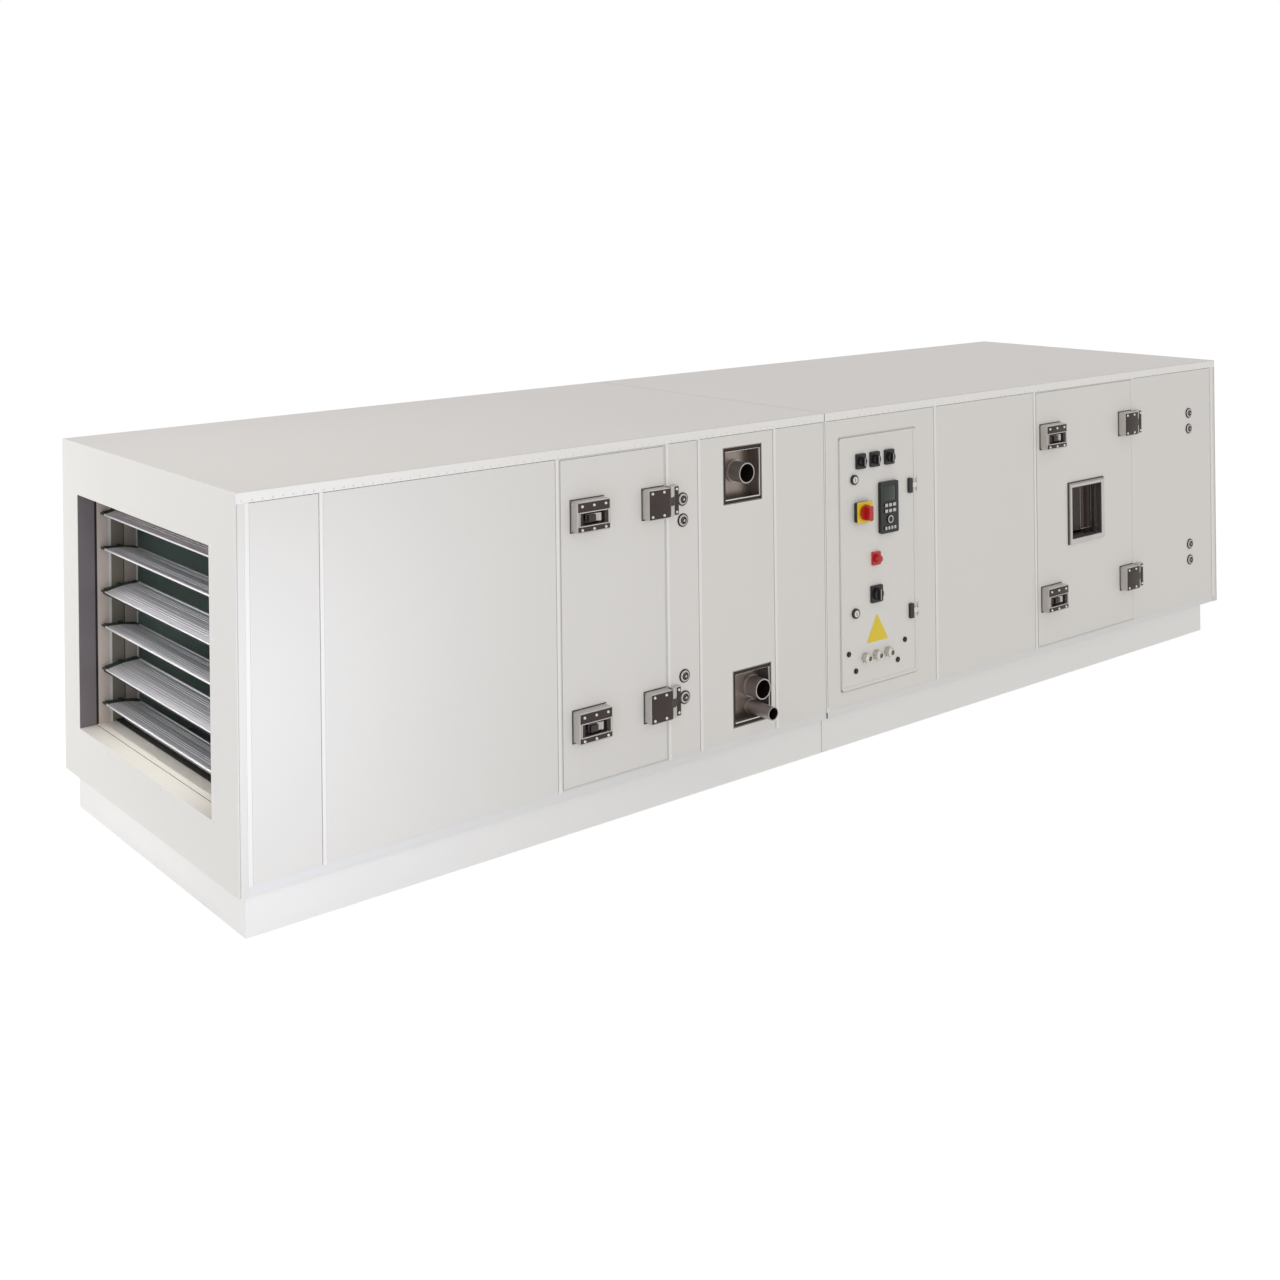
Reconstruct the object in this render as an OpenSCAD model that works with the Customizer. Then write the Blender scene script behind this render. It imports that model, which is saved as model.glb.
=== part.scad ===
// Air handling unit: a long double-skin casing on a low base, with an intake
// damper in its left end, a filter door, coil connections, a control door and
// a fan door along its service face, and a discharge flange in its right end.
// X runs along the unit, the service face looks to -Y, Z is up. Millimetres.

/* [Casing] */
// Depth of the casing from the service face to the back face
casing_d = 1190; // [1150:1:1400]
// Height of the casing above its base
casing_h = 990; // [970:1:1200]
// Thickness of the double-skin panels
panel_t = 50; // [46:1:56]
// Thickness of the outer leaf of a panel, which laps over the frame
leaf_t = 18; // [16:1:20]
// Height of the folded roof edge
roof_edge = 28; // [24:1:32]
// Width of the bottom rail that shows under the panels
rail_h = 24; // [20:1:28]
// Set-back of the bottom rail behind the panels
rail_in = 4; // [2:0.5:6]
// Width of the corner posts that shows beside the panels
post_w = 24; // [20:1:28]
// Rounding of the corner posts
post_r = 3; // [2:0.5:6]
// Thickness of the cover sheets on both ends
end_sheet = 3; // [2:0.5:4]
// Height of the top rails under the roof
top_rail_h = 26; // [20:1:30]
// Width of the strip that shows between two panels
strip_w = 13; // [10:1:15]
// Reach of the strips in front of the panels
strip_out = 2; // [1:0.5:3]
// Width of the dark line beside strips and rails
seam_gap = 1.5; // [1:0.5:2]
// Width of the mullion behind a strip
mullion_w = 40; // [36:1:44]
// Gap between the two halves of the unit
joint_gap = 3; // [2:1:5]
// Clearance round the core of a fixed panel
core_gap = 1; // [0.5:0.5:3]

/* [Bays] */
// Width of the narrow bay beside the intake end
inlet_bay_w = 232; // [210:1:280]
// Width of the mixing bay
mixing_bay_w = 736; // [600:1:900]
// Width of the filter door bay
filter_bay_w = 404; // [380:1:500]
// Width of the narrow bay with the measuring ports
port_bay_w = 126; // [115:1:150]
// Width of the bay with the coil connections
coil_bay_w = 314; // [313:1:400]
// Width of the plain bay up to the joint of the two halves
service_bay_w = 226; // [180:1:300]
// Width of the bay with the control door
control_bay_w = 537; // [520:1:650]
// Width of the plain bay beside the fan section
blank_bay_w = 550; // [450:1:650]
// Width of the fan door bay
fan_bay_w = 617; // [600:1:750]
// Width of the last bay beside the fan
fan_side_w = 578; // [500:1:700]

/* [Base] */
// Height of the base channels
base_h = 115; // [80:1:160]
// Flange width of the base channels
base_flange = 45; // [30:1:60]
// Wall of the base channels
base_wall = 4; // [3:0.5:6]
// Set-back of the base from the front, the back and the intake end
base_in = 30; // [20:1:45]
// Set-back of the base from the discharge end
base_end_in = 75; // [30:1:100]

/* [Intake damper] */
// Distance of the intake opening from the service face
intake_y = 155; // [130:1:165]
// Distance of the intake opening from the back face
intake_back = 120; // [110:1:150]
// Height of the intake opening above the casing's bottom
intake_z = 148; // [110:1:160]
// Distance of the intake opening from the casing's top
intake_top = 152; // [140:1:170]
// Depth of the damper frame
damper_d = 131; // [124:1:180]
// Wall of the damper frame
damper_wall = 25; // [20:1:35]
// Gap between two closed blades
blade_edge_gap = 5; // [4:0.5:15]
// Thickness of a blade at its axis
blade_t = 11; // [9:0.5:14]
// Tilt of the blades as they stand
blade_tilt = 7; // [0:1:10]
// Radius of the blade journals
journal_r = 6; // [4:0.5:8]
// Length of the plastic end pieces of a blade
end_piece = 14; // [10:1:20]
// Gap between the blade ends and the damper frame
blade_side_gap = 5; // [4:0.5:8]

/* [Filters] */
// Depth of the filter frame along the air flow
filter_d = 96; // [60:1:140]
// Width of the bars of the filter frame
filter_bar = 30; // [20:1:40]
// Number of pleats across a filter cell
pleat_n = 14; // [10:1:18]

/* [Coil connections] */
// Width of the connection pockets
pocket_w = 163; // [150:1:164]
// Height of the connection pockets
pocket_h = 176; // [172:1:190]
// Sheet thickness of the connection pockets
pocket_wall = 3; // [2:0.5:5]
// Place of the upper pocket along its bay
upper_pocket_x = 97; // [50:1:105]
// Distance of the upper pocket from the casing's top
upper_pocket_down = 65; // [65:1:200]
// Place of the lower pocket along its bay
lower_pocket_x = 128; // [80:1:129]
// Height of the lower pocket above the casing's bottom
lower_pocket_z = 60; // [60:1:120]
// Outside radius of the coil pipes
pipe_r = 32; // [25:0.5:33]
// Wall of the coil pipes
pipe_wall = 4; // [3:0.5:8]
// Outside radius of the drain pipe
drain_r = 21; // [15:0.5:22]
// Wall of the drain pipe
drain_wall = 3; // [2:0.5:5]
// Reach of the upper pipe in front of the service face
upper_pipe_out = 12; // [5:1:50]
// Reach of the lower pipe in front of the service face
lower_pipe_out = 10; // [5:1:50]
// Reach of the drain pipe in front of the service face
drain_out = 60; // [55:1:100]

/* [Doors] */
// Gap round the doors
door_gap = 6; // [5.5:0.5:8]
// Clearance round the core of a door
door_core_gap = 13; // [11:1:18]
// Distance of the upper latches and hinges from the casing's top
upper_fit_down = 196; // [140:1:250]
// Height of the lower latches and hinges above the casing's bottom
lower_fit_z = 198; // [140:1:300]
// Place of the filter door's latches along its bay
filter_latch_x = 46; // [30:1:60]
// Place of the fan door's latches along its bay
fan_latch_x = 32; // [26:1:80]

/* [Latches and hinges] */
// Width of a latch
latch_w = 120; // [100:1:125]
// Height of a latch or hinge
fit_h = 90; // [80:1:100]
// Reach of a latch or hinge in front of the door
fit_out = 32; // [30:1:36]
// Corner rounding of a latch or hinge
fit_r = 8; // [4:1:12]
// Width of the latch pocket
grip_w = 82; // [76:1:88]
// Height of the latch pocket
grip_h = 36; // [34:1:44]
// Depth of the latch pocket
grip_d = 25; // [24:0.5:26]
// Height of the lever
lever_h = 22; // [16:1:23]
// Thickness of the lever
lever_t = 8; // [6:1:10]
// Length of the lever from its pivot
lever_l = 46; // [40:1:48]
// Radius of the lever's pivot pin
lever_pin_r = 3; // [2:0.5:4]
// Width of the hinge block on the door
hinge_w = 84; // [70:1:100]
// Radius of the hinge knuckles
knuckle_r = 7; // [6:0.5:7]
// Radius of the hinge pins
hinge_pin_r = 3.5; // [2.5:0.5:4]
// Distance of the hinge axis in front of the service face
hinge_out = 18; // [17:0.5:20]
// Clearance round pins and journals
pin_gap = 0.3; // [0.2:0.05:0.5]

/* [Control door] */
// Width of the control door opening
control_w = 378; // [340:1:390]
// Distance of the control door opening from the casing's top
control_down = 85; // [80:1:120]
// Place of the control door opening along its bay
control_x = 59; // [40:1:80]
// Height of the control door opening above the casing's bottom
control_z = 70; // [60:1:90]
// Thickness of the control door
control_t = 20; // [16:1:24]
// Corner rounding of the control door
control_r = 10; // [6:1:20]
// Width of the bead round the control door
bead_w = 9; // [6:1:12]
// Reach of the control door in front of the service face
control_out = 2; // [1:0.5:3]
// Reach of the bead in front of the control door
bead_out = 3; // [2:0.5:4]
// Depth of the control box behind the panel
control_box_d = 230; // [150:1:300]
// Sheet thickness of the control box
control_box_wall = 4; // [3:0.5:6]
// Depth of the main switch base
switch_base_t = 16; // [12:1:24]
// Thickness of the main switch plate
switch_plate_t = 3; // [2:0.5:5]
// Radius of the main switch knob
switch_r = 26; // [20:1:30]
// Width of the operator panel
keypad_w = 86; // [80:1:100]
// Height of the operator panel
keypad_h = 171; // [150:1:180]
// Thickness of the operator panel
keypad_t = 13; // [10:1:20]

/* [Window] */
// Width of the window
window_w = 211; // [180:1:250]
// Height of the window
window_h = 221; // [180:1:250]
// Place of the window along the fan door bay
window_x = 200; // [180:1:210]
// Height of the window above the casing's bottom
window_z = 380; // [350:1:420]
// Width of the window frame
window_frame_w = 14; // [10:1:18]
// Reach of the window frame in front of the door
window_out = 7; // [4:1:10]
// Thickness of the window pane
pane_t = 6; // [4:0.5:8]

/* [Fan] */
// Distance of the fan bulkhead from the end of the plain bay
bulkhead_in = 70; // [60:1:90]
// Thickness of the fan bulkhead
bulkhead_t = 20; // [10:1:30]
// Radius of the fan wheel
wheel_r = 290; // [240:1:300]
// Width of the fan wheel
wheel_w = 190; // [140:1:220]
// Radius of the fan inlet
eye_r = 190; // [150:1:200]
// Number of fan blades
fan_blade_n = 9; // [7:1:11]
// Radius of the fan motor
motor_r = 125; // [100:1:140]
// Length of the fan motor
motor_l = 330; // [280:1:380]
// Width of the bars of the fan frame
fan_bar = 50; // [40:1:60]

/* [Discharge] */
// Width of the discharge opening
discharge_w = 800; // [700:1:860]
// Height of the discharge opening
discharge_h = 600; // [500:1:660]
// Reach of the discharge collar beyond the casing
discharge_out = 40; // [30:1:60]
// Wall of the discharge collar
collar_t = 4; // [3:0.5:6]
// Width of the discharge flange
flange_w = 35; // [30:1:40]
// Radius of the corner holes of the discharge flange
flange_hole_r = 5; // [4:0.5:7]

/* [Hidden] */
$fn = 64;

// Seams along the service face, from the intake end
x_inlet = inlet_bay_w;
x_filter = x_inlet + mixing_bay_w;
x_port = x_filter + filter_bay_w;
x_coil = x_port + port_bay_w;
x_service = x_coil + coil_bay_w;
x_joint = x_service + service_bay_w;
x_blank = x_joint + control_bay_w;
x_fan = x_blank + blank_bay_w;
x_fan_end = x_fan + fan_bay_w;
casing_l = x_fan_end + fan_side_w;

// The origin lies under the middle of the whole unit
case_x = -(casing_l + discharge_out) / 2;
case_y = (drain_out - casing_d) / 2;

// Heights that the frame and panels share
leaf_top = casing_h - roof_edge;
core_low = panel_t + core_gap;
core_top = leaf_top - top_rail_h - core_gap;
half_strip = strip_w / 2;
half_line = half_strip - seam_gap;
half_mullion = mullion_w / 2;
inner_d = casing_d - 2 * panel_t;
mid_y = casing_d / 2;
mid_z = (panel_t + leaf_top - top_rail_h) / 2;

// Damper
blade_n = 6;
intake_w = casing_d - intake_y - intake_back;
intake_h = casing_h - intake_z - intake_top;
blade_pitch = intake_h / blade_n;
blade_chord = blade_pitch - blade_edge_gap;
damper_x = panel_t + (damper_d + 10) / 2;
blade_span = intake_w - 2 * blade_side_gap;
blade_low = intake_z + (intake_h - (blade_n - 1) * blade_pitch) / 2;
blade_arc_r = (pow(blade_chord / 2, 2) + pow(blade_t / 2, 2)) / blade_t;
journal_l = blade_side_gap + damper_wall - 5;
groove_r = 1.2;
groove_step = 8;
edge_r = 3.5;

// Coil
coil_y = panel_t + 6;
upper_pocket_z = casing_h - upper_pocket_down - pocket_h;
upper_pipe = [x_coil + upper_pocket_x + 0.546 * pocket_w, upper_pocket_z + 0.517 * pocket_h];
lower_pipe = [x_coil + lower_pocket_x + 0.73 * pocket_w, lower_pocket_z + 0.568 * pocket_h];
drain_pos = [x_coil + lower_pocket_x + 0.693 * pocket_w, lower_pocket_z + 0.21 * pocket_h];
rosette_w = 4;
rosette_t = 6;

// Latches
upper_fit_z = casing_h - upper_fit_down;
grip_floor = fit_out - grip_d;
lever_hub_r = lever_pin_r + 4;
lever_y = grip_floor + lever_hub_r + 5.5;
grip_side = (latch_w - grip_w) / 2;
grip_z = (fit_h - grip_h) / 2 - 6;
lever_pivot_x = latch_w - grip_side - lever_hub_r - 6;
lever_pivot_z = grip_z + grip_h / 2;

// Hinges
hinge_block_gap = half_strip + door_gap;
bracket_t = 5;
bracket_w = 36;
knuckle_mid = 24;
knuckle_gap = 1;

// Control door
control_left = x_joint + control_x;
control_h = casing_h - control_z - control_down;
control_door_w = control_w - 2 * door_gap;
control_door_h = control_h - 2 * door_gap;
control_hinge_x = control_left + control_w - door_gap / 2;
control_hinge_y = control_out + bead_out + 4;
small_knuckle_r = 3.5;
small_pin_r = 1.8;
bead_r = 2;
switch_face = control_out + switch_base_t + switch_plate_t;
switch_gap = 2;
spindle_r = 5;

// Fan
bulkhead_x = x_fan - bulkhead_in;
wheel_x = bulkhead_x + bulkhead_t + 25;
motor_x = wheel_x + wheel_w;

// Box from its low corner to its high corner
module box(low, high) {
    translate(low) cube(high - low);
}

// Places things in the casing's own corner: service face, intake end, bottom
module in_casing() {
    translate([case_x, case_y, base_h]) children();
}

// Turns a flat outline to face forward, standing at x, z on the plane y
module facing(x, z, y = 0) {
    translate([x, y, z]) rotate([90, 0, 0]) children();
}

// Rectangle with rounded corners
module rounded_rect(w, h, r) {
    translate([r, 0]) square([w - 2 * r, h]);
    translate([0, r]) square([w, h - 2 * r]);
    for (x = [r, w - r], y = [r, h - r]) translate([x, y]) circle(r);
}

// Rounded plate in front of the plane y
module plate(x, z, w, h, t, r, y = 0) {
    facing(x, z, y) linear_extrude(t) rounded_rect(w, h, r);
}

// Round boss in front of the plane y
module boss(x, z, r, t, y = 0) {
    facing(x, z, y) cylinder(r = r, h = t);
}

// Section of a base channel, open to the inside
module channel_section() {
    difference() {
        square([base_flange, base_h]);
        translate([base_wall, base_wall]) square([base_flange, base_h - 2 * base_wall]);
    }
}

// Channel along X with its web to the front and mitred ends
module channel_x(x0, x1) {
    f = base_flange;
    intersection() {
        translate([x0, 0, 0]) rotate([90, 0, 90]) linear_extrude(x1 - x0) channel_section();
        linear_extrude(base_h) polygon([[x0, 0], [x1, 0], [x1 - f, f], [x0 + f, f]]);
    }
}

// Channel along Y with its web to the left and mitred ends
module channel_y(y0, y1) {
    f = base_flange;
    intersection() {
        translate([0, y1, 0]) rotate([90, 0, 0]) linear_extrude(y1 - y0) channel_section();
        linear_extrude(base_h) polygon([[0, y0], [f, y0 + f], [f, y1 - f], [0, y1]]);
    }
}

base_x0 = base_in;
base_x1 = casing_l - base_end_in;
base_y0 = base_in;
base_y1 = casing_d - base_in;

module base_long_rails() {
    color("gainsboro") translate([case_x, case_y, 0])
        for (span = [[base_x0, x_joint - joint_gap / 2], [x_joint + joint_gap / 2, base_x1]]) {
            translate([0, base_y0, 0]) channel_x(span[0], span[1]);
            translate([0, base_y1, 0]) mirror([0, 1, 0]) channel_x(span[0], span[1]);
        }
}

module base_cross_rails() {
    color("gainsboro") translate([case_x, case_y, 0]) {
        for (x = [base_x0, x_joint + joint_gap / 2])
            translate([x, 0, 0]) channel_y(base_y0, base_y1);
        for (x = [x_joint - joint_gap / 2, base_x1])
            translate([x, 0, 0]) mirror([1, 0, 0]) channel_y(base_y0, base_y1);
    }
}

// Corner post behind the end sheet, with a rounded nose and rebates for two panels
module post() {
    nose_x = end_sheet + seam_gap;
    nose_w = post_w - nose_x;
    linear_extrude(leaf_top) {
        translate([leaf_t, leaf_t]) square(panel_t - leaf_t);
        translate([nose_x, 0]) {
            translate([post_r, 0]) square([nose_w - post_r, post_w]);
            translate([0, post_r]) square([nose_w, post_w - post_r]);
            translate([post_r, post_r]) circle(post_r);
        }
    }
}

module corner_posts() {
    color("whitesmoke") in_casing()
        for (right = [0, 1], back = [0, 1])
            translate([right * casing_l, back * casing_d, 0])
                mirror([right, 0, 0]) mirror([0, back, 0]) post();
}

// Bottom rail along X: a lip that shows and a body behind it
module bottom_rail(x0, x1, lip0, lip1) {
    box([x0, leaf_t, 0], [x1, panel_t, panel_t]);
    box([lip0, rail_in, 0], [lip1, leaf_t, rail_h]);
}

module long_rails() {
    half = joint_gap / 2;
    bottom_rail(panel_t, x_joint - half, post_w, x_joint - half);
    bottom_rail(x_joint + half, casing_l - panel_t, x_joint + half, casing_l - post_w);
    for (span = [[panel_t, x_joint - half], [x_joint + half, casing_l - panel_t]])
        box([span[0], leaf_t, leaf_top - top_rail_h], [span[1], panel_t, leaf_top]);
}

module end_rails() {
    box([leaf_t, panel_t, 0], [panel_t, casing_d - panel_t, panel_t]);
    box([end_sheet, post_w, 0], [leaf_t, casing_d - post_w, rail_h]);
    box([leaf_t, panel_t, leaf_top - top_rail_h], [panel_t, casing_d - panel_t, leaf_top]);
}

module frame_rails() {
    color("whitesmoke") in_casing() {
        long_rails();
        translate([0, casing_d, 0]) mirror([0, 1, 0]) long_rails();
        end_rails();
        translate([casing_l, 0, 0]) mirror([1, 0, 0]) end_rails();
    }
}

// Mullion between the rails, with the strip that shows from x0 to x1
module mullion(x0, x1, body0, body1, out = strip_out) {
    box([body0, leaf_t, panel_t], [body1, panel_t, leaf_top - top_rail_h]);
    box([x0, -out, rail_h], [x1, leaf_t, leaf_top]);
}

module seam_mullion(x) {
    mullion(x - half_line, x + half_line, x - half_mullion, x + half_mullion);
}

module joint_mullions() {
    half = joint_gap / 2;
    mullion(x_joint - half_line, x_joint - half, x_joint - half_mullion, x_joint - half);
    mullion(x_joint + half, x_joint + half_line, x_joint + half, x_joint + half_mullion);
}

// Strips beside the corner posts
module edge_strips() {
    inner = post_w + strip_w - seam_gap;
    box([post_w, -strip_out, rail_h], [inner, leaf_t, leaf_top]);
    box([casing_l - inner, -strip_out, rail_h], [casing_l - post_w, leaf_t, leaf_top]);
}

module mullions() {
    color("whitesmoke") in_casing() {
        for (x = [x_inlet, x_filter, x_port, x_coil, x_service, x_blank, x_fan]) seam_mullion(x);
        mullion(x_fan_end - half_strip, x_fan_end + half_strip, x_fan_end - half_mullion,
            x_fan_end + half_mullion, 0);
        joint_mullions();
        edge_strips();
        translate([0, casing_d, 0]) mirror([0, 1, 0]) {
            for (x = [x_filter, x_fan]) seam_mullion(x);
            joint_mullions();
            edge_strips();
        }
    }
}

// Sealing ring between the two halves of the unit
module joint_gasket() {
    half = joint_gap / 2;
    edge = 2;
    color("black") in_casing() difference() {
        box([x_joint - half, edge, edge], [x_joint + half, casing_d - edge, casing_h - edge]);
        box([x_joint - half - 1, panel_t, panel_t],
            [x_joint + half + 1, casing_d - panel_t, leaf_top - top_rail_h]);
    }
}

module floor_panels() {
    half = joint_gap / 2;
    color("lightgray") in_casing()
        for (span = [[panel_t, x_joint - half], [x_joint + half, casing_l - panel_t]])
            box([span[0], panel_t, 0], [span[1], casing_d - panel_t, panel_t]);
}

module roof_panels() {
    half = joint_gap / 2;
    color("lightgray") in_casing() {
        box([end_sheet, 0, leaf_top], [x_joint - half, casing_d, casing_h]);
        box([core_low, core_low, core_top], [x_joint - half, casing_d - core_low, leaf_top]);
        box([x_joint + half, 0, leaf_top], [casing_l - end_sheet, casing_d, casing_h]);
        box([x_joint + half, core_low, core_top],
            [casing_l - core_low, casing_d - core_low, leaf_top]);
    }
}

// Panel between two frame members: x gives the leaf and core, left and right
module panel(leaf0, leaf1, core0, core1) {
    box([leaf0, 0, rail_h + seam_gap], [leaf1, leaf_t, leaf_top - seam_gap]);
    box([core0, leaf_t, core_low], [core1, panel_t, core_top]);
}

module panel_between(x0, x1) {
    inset = half_mullion + core_gap;
    panel(x0 + half_strip, x1 - half_strip, x0 + inset, x1 - inset);
}

module first_panel(x1) {
    panel(post_w + strip_w, x1 - half_strip, core_low, x1 - half_mullion - core_gap);
}

module last_panel(x0) {
    panel(x0 + half_strip, casing_l - post_w - strip_w, x0 + half_mullion + core_gap,
        casing_l - core_low);
}

module back_panels() {
    color("gainsboro") in_casing() translate([0, casing_d, 0]) mirror([0, 1, 0]) {
        first_panel(x_filter);
        panel_between(x_filter, x_joint);
        panel_between(x_joint, x_fan);
        last_panel(x_fan);
    }
}

module front_panels() {
    color("whitesmoke") in_casing() {
        first_panel(x_inlet);
        panel_between(x_inlet, x_filter);
        panel_between(x_port, x_coil);
        panel_between(x_service, x_joint);
        panel_between(x_blank, x_fan);
        last_panel(x_fan_end);
    }
}

// End panel of the left end with its cover sheet, before its opening is cut
module end_panel() {
    box([0, 0, 0], [end_sheet, casing_d, casing_h]);
    box([0, post_w, rail_h], [leaf_t, casing_d - post_w, leaf_top]);
    box([leaf_t, core_low, core_low], [panel_t, casing_d - core_low, core_top]);
}

module intake_end_panel() {
    color("whitesmoke") in_casing() difference() {
        end_panel();
        box([-1, intake_y, intake_z], [panel_t + 1, intake_y + intake_w, intake_z + intake_h]);
    }
}

discharge_y = (casing_d - discharge_w) / 2;
discharge_z = mid_z - discharge_h / 2;

module discharge_end_panel() {
    color("gainsboro") in_casing() translate([casing_l, 0, 0]) mirror([1, 0, 0]) difference() {
        end_panel();
        box([-1, discharge_y, discharge_z],
            [panel_t + 1, discharge_y + discharge_w, discharge_z + discharge_h]);
    }
}

// Collar in the discharge opening with a flange turned outward at its mouth
module discharge_flange() {
    w = discharge_w;
    h = discharge_h;
    bore = w - 2 * collar_t;
    bore_h = h - 2 * collar_t;
    color("silver") in_casing()
        translate([casing_l - panel_t, discharge_y, discharge_z])
            rotate([90, 0, 90]) difference() {
                union() {
                    cube([w, h, panel_t + discharge_out]);
                    translate([-flange_w, -flange_w, panel_t + discharge_out - collar_t])
                        cube([w + 2 * flange_w, h + 2 * flange_w, collar_t]);
                }
                translate([collar_t, collar_t, -1])
                    cube([bore, bore_h, panel_t + discharge_out + 2]);
                for (x = [-flange_w / 2, w + flange_w / 2], y = [-flange_w / 2, h + flange_w / 2])
                    translate([x, y, 0]) cylinder(r = flange_hole_r, h = panel_t + discharge_out + 1);
            }
}

module coil_panel() {
    color("whitesmoke") in_casing() difference() {
        panel_between(x_coil, x_service);
        for (p = [[upper_pocket_x, upper_pocket_z], [lower_pocket_x, lower_pocket_z]])
            box([x_coil + p[0], -1, p[1]],
                [x_coil + p[0] + pocket_w, panel_t + 1, p[1] + pocket_h]);
    }
}

module control_bay_panel() {
    color("whitesmoke") in_casing() difference() {
        panel_between(x_joint, x_blank);
        facing(control_left, control_z, panel_t + 1)
            linear_extrude(panel_t + 2) rounded_rect(control_w, control_h, control_r);
    }
}

module control_box() {
    wall = control_box_wall;
    depth = control_box_d;
    color("silver") in_casing() translate([control_left, panel_t, control_z]) difference() {
        translate([-wall, 0, -wall])
            cube([control_w + 2 * wall, depth, control_h + 2 * wall]);
        translate([0, -1, 0]) cube([control_w, depth - wall + 1, control_h]);
    }
}

// Damper frame: four walls with a row of bearings in each side
module damper_frame() {
    depth = damper_d;
    wall = damper_wall;
    color("tan") in_casing() difference() {
        box([panel_t, intake_y - wall, intake_z - wall],
            [panel_t + depth, intake_y + intake_w + wall, intake_z + intake_h + wall]);
        box([panel_t - 1, intake_y, intake_z],
            [panel_t + depth + 1, intake_y + intake_w, intake_z + intake_h]);
        for (i = [0 : blade_n - 1])
            translate([damper_x, intake_y + intake_w + wall - 4, blade_low + i * blade_pitch])
                rotate([90, 0, 0])
                    cylinder(r = journal_r + pin_gap, h = intake_w + 2 * wall - 8);
    }
}

// Aerofoil outline of a blade, grooved on both faces
module blade_outline() {
    rise = blade_arc_r - blade_t / 2;
    difference() {
        union() {
            intersection() {
                translate([0, -rise]) circle(blade_arc_r, $fn = 256);
                translate([0, rise]) circle(blade_arc_r, $fn = 256);
            }
            for (side = [-1, 1]) translate([side * (blade_chord / 2 - edge_r), 0]) circle(edge_r);
        }
        for (i = [-4 : 4], side = [-1, 1])
            if (abs(i) > 1)
                let (x = i * groove_step)
                    translate([x, side * (sqrt(pow(blade_arc_r, 2) - x * x) - rise)])
                        circle(groove_r);
    }
}

// Blade along Y with an end piece, hub and journal at each end
module damper_blade(i) {
    tilt = (i % 2 == 0 ? 1 : -1) * blade_tilt;
    far = intake_y + intake_w - blade_side_gap;
    color("silver") in_casing()
        translate([damper_x, far, blade_low + (i - 1) * blade_pitch])
            rotate([90, 0, 0]) rotate([0, 0, tilt]) {
                linear_extrude(blade_span) blade_outline();
                for (z = [0, blade_span - end_piece]) translate([0, 0, z]) {
                    cylinder(r = blade_t, h = end_piece);
                    translate([-blade_chord / 2 + 8, -blade_t / 2, 0])
                        cube([blade_chord - 16, blade_t, end_piece]);
                }
                translate([0, 0, -journal_l])
                    cylinder(r = journal_r, h = blade_span + 2 * journal_l);
            }
}

module damper_blade_1() { damper_blade(1); }
module damper_blade_2() { damper_blade(2); }
module damper_blade_3() { damper_blade(3); }
module damper_blade_4() { damper_blade(4); }
module damper_blade_5() { damper_blade(5); }
module damper_blade_6() { damper_blade(6); }

// Filter bank: a frame across the casing with four cells
filter_x = x_filter + half_mullion + 20;
filter_y0 = panel_t + door_gap;
filter_y1 = casing_d - panel_t;
filter_z0 = panel_t;
filter_z1 = core_top;
cell_w = (filter_y1 - filter_y0 - 3 * filter_bar) / 2;
cell_h = (filter_z1 - filter_z0 - 3 * filter_bar) / 2;

function cell_y(i) = filter_y0 + filter_bar + i * (cell_w + filter_bar);
function cell_z(i) = filter_z0 + filter_bar + i * (cell_h + filter_bar);

module filter_frame() {
    color("silver") in_casing() difference() {
        box([filter_x, filter_y0, filter_z0], [filter_x + filter_d, filter_y1, filter_z1]);
        for (i = [0, 1], j = [0, 1])
            box([filter_x - 1, cell_y(i), cell_z(j)],
                [filter_x + filter_d + 1, cell_y(i) + cell_w, cell_z(j) + cell_h]);
    }
}

// Pleated sheet that fills one filter cell
module pleats() {
    step = cell_w / pleat_n;
    skin = 3;
    deep = filter_d - 16 - skin;
    front = [for (i = [0 : 2 * pleat_n]) [i * step / 2, i % 2 == 0 ? 0 : deep]];
    back = [for (i = [2 * pleat_n : -1 : 0]) [i * step / 2, (i % 2 == 0 ? 0 : deep) + skin]];
    linear_extrude(cell_h) polygon(concat(front, back));
}

module filter_media() {
    color("dimgray") in_casing()
        for (i = [0, 1], j = [0, 1])
            translate([filter_x + filter_d - 8, cell_y(i), cell_z(j)]) rotate([0, 0, 90]) pleats();
}

module coil_block() {
    color("silver") in_casing()
        box([x_coil + half_mullion, coil_y, panel_t],
            [x_service - half_mullion, casing_d - panel_t, core_top]);
}

// Sheet pocket let into the coil panel, open to the front
module pocket(x, z, holes) {
    difference() {
        box([x, 0, z], [x + pocket_w, panel_t, z + pocket_h]);
        box([x + pocket_wall, -1, z + pocket_wall],
            [x + pocket_w - pocket_wall, panel_t - pocket_wall, z + pocket_h - pocket_wall]);
        for (hole = holes) boss(hole[0][0], hole[0][1], hole[1] + pin_gap, panel_t, panel_t + 1);
    }
}

module pipe_pockets() {
    color("rosybrown") in_casing() {
        pocket(x_coil + upper_pocket_x, upper_pocket_z, [[upper_pipe, pipe_r]]);
        pocket(x_coil + lower_pocket_x, lower_pocket_z, [[lower_pipe, pipe_r], [drain_pos, drain_r]]);
    }
}

// Pipe stub from the coil to its mouth, with a rosette on the pocket's back
module stub(at, r, wall, reach) {
    difference() {
        union() {
            boss(at[0], at[1], r, coil_y + reach, coil_y);
            boss(at[0], at[1], r + rosette_w, rosette_t, panel_t - pocket_wall);
        }
        boss(at[0], at[1], r - wall, coil_y + reach, coil_y - 10);
    }
}

module coil_pipes() {
    color("gray") in_casing() {
        stub(upper_pipe, pipe_r, pipe_wall, upper_pipe_out);
        stub(lower_pipe, pipe_r, pipe_wall, lower_pipe_out);
    }
}

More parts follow.
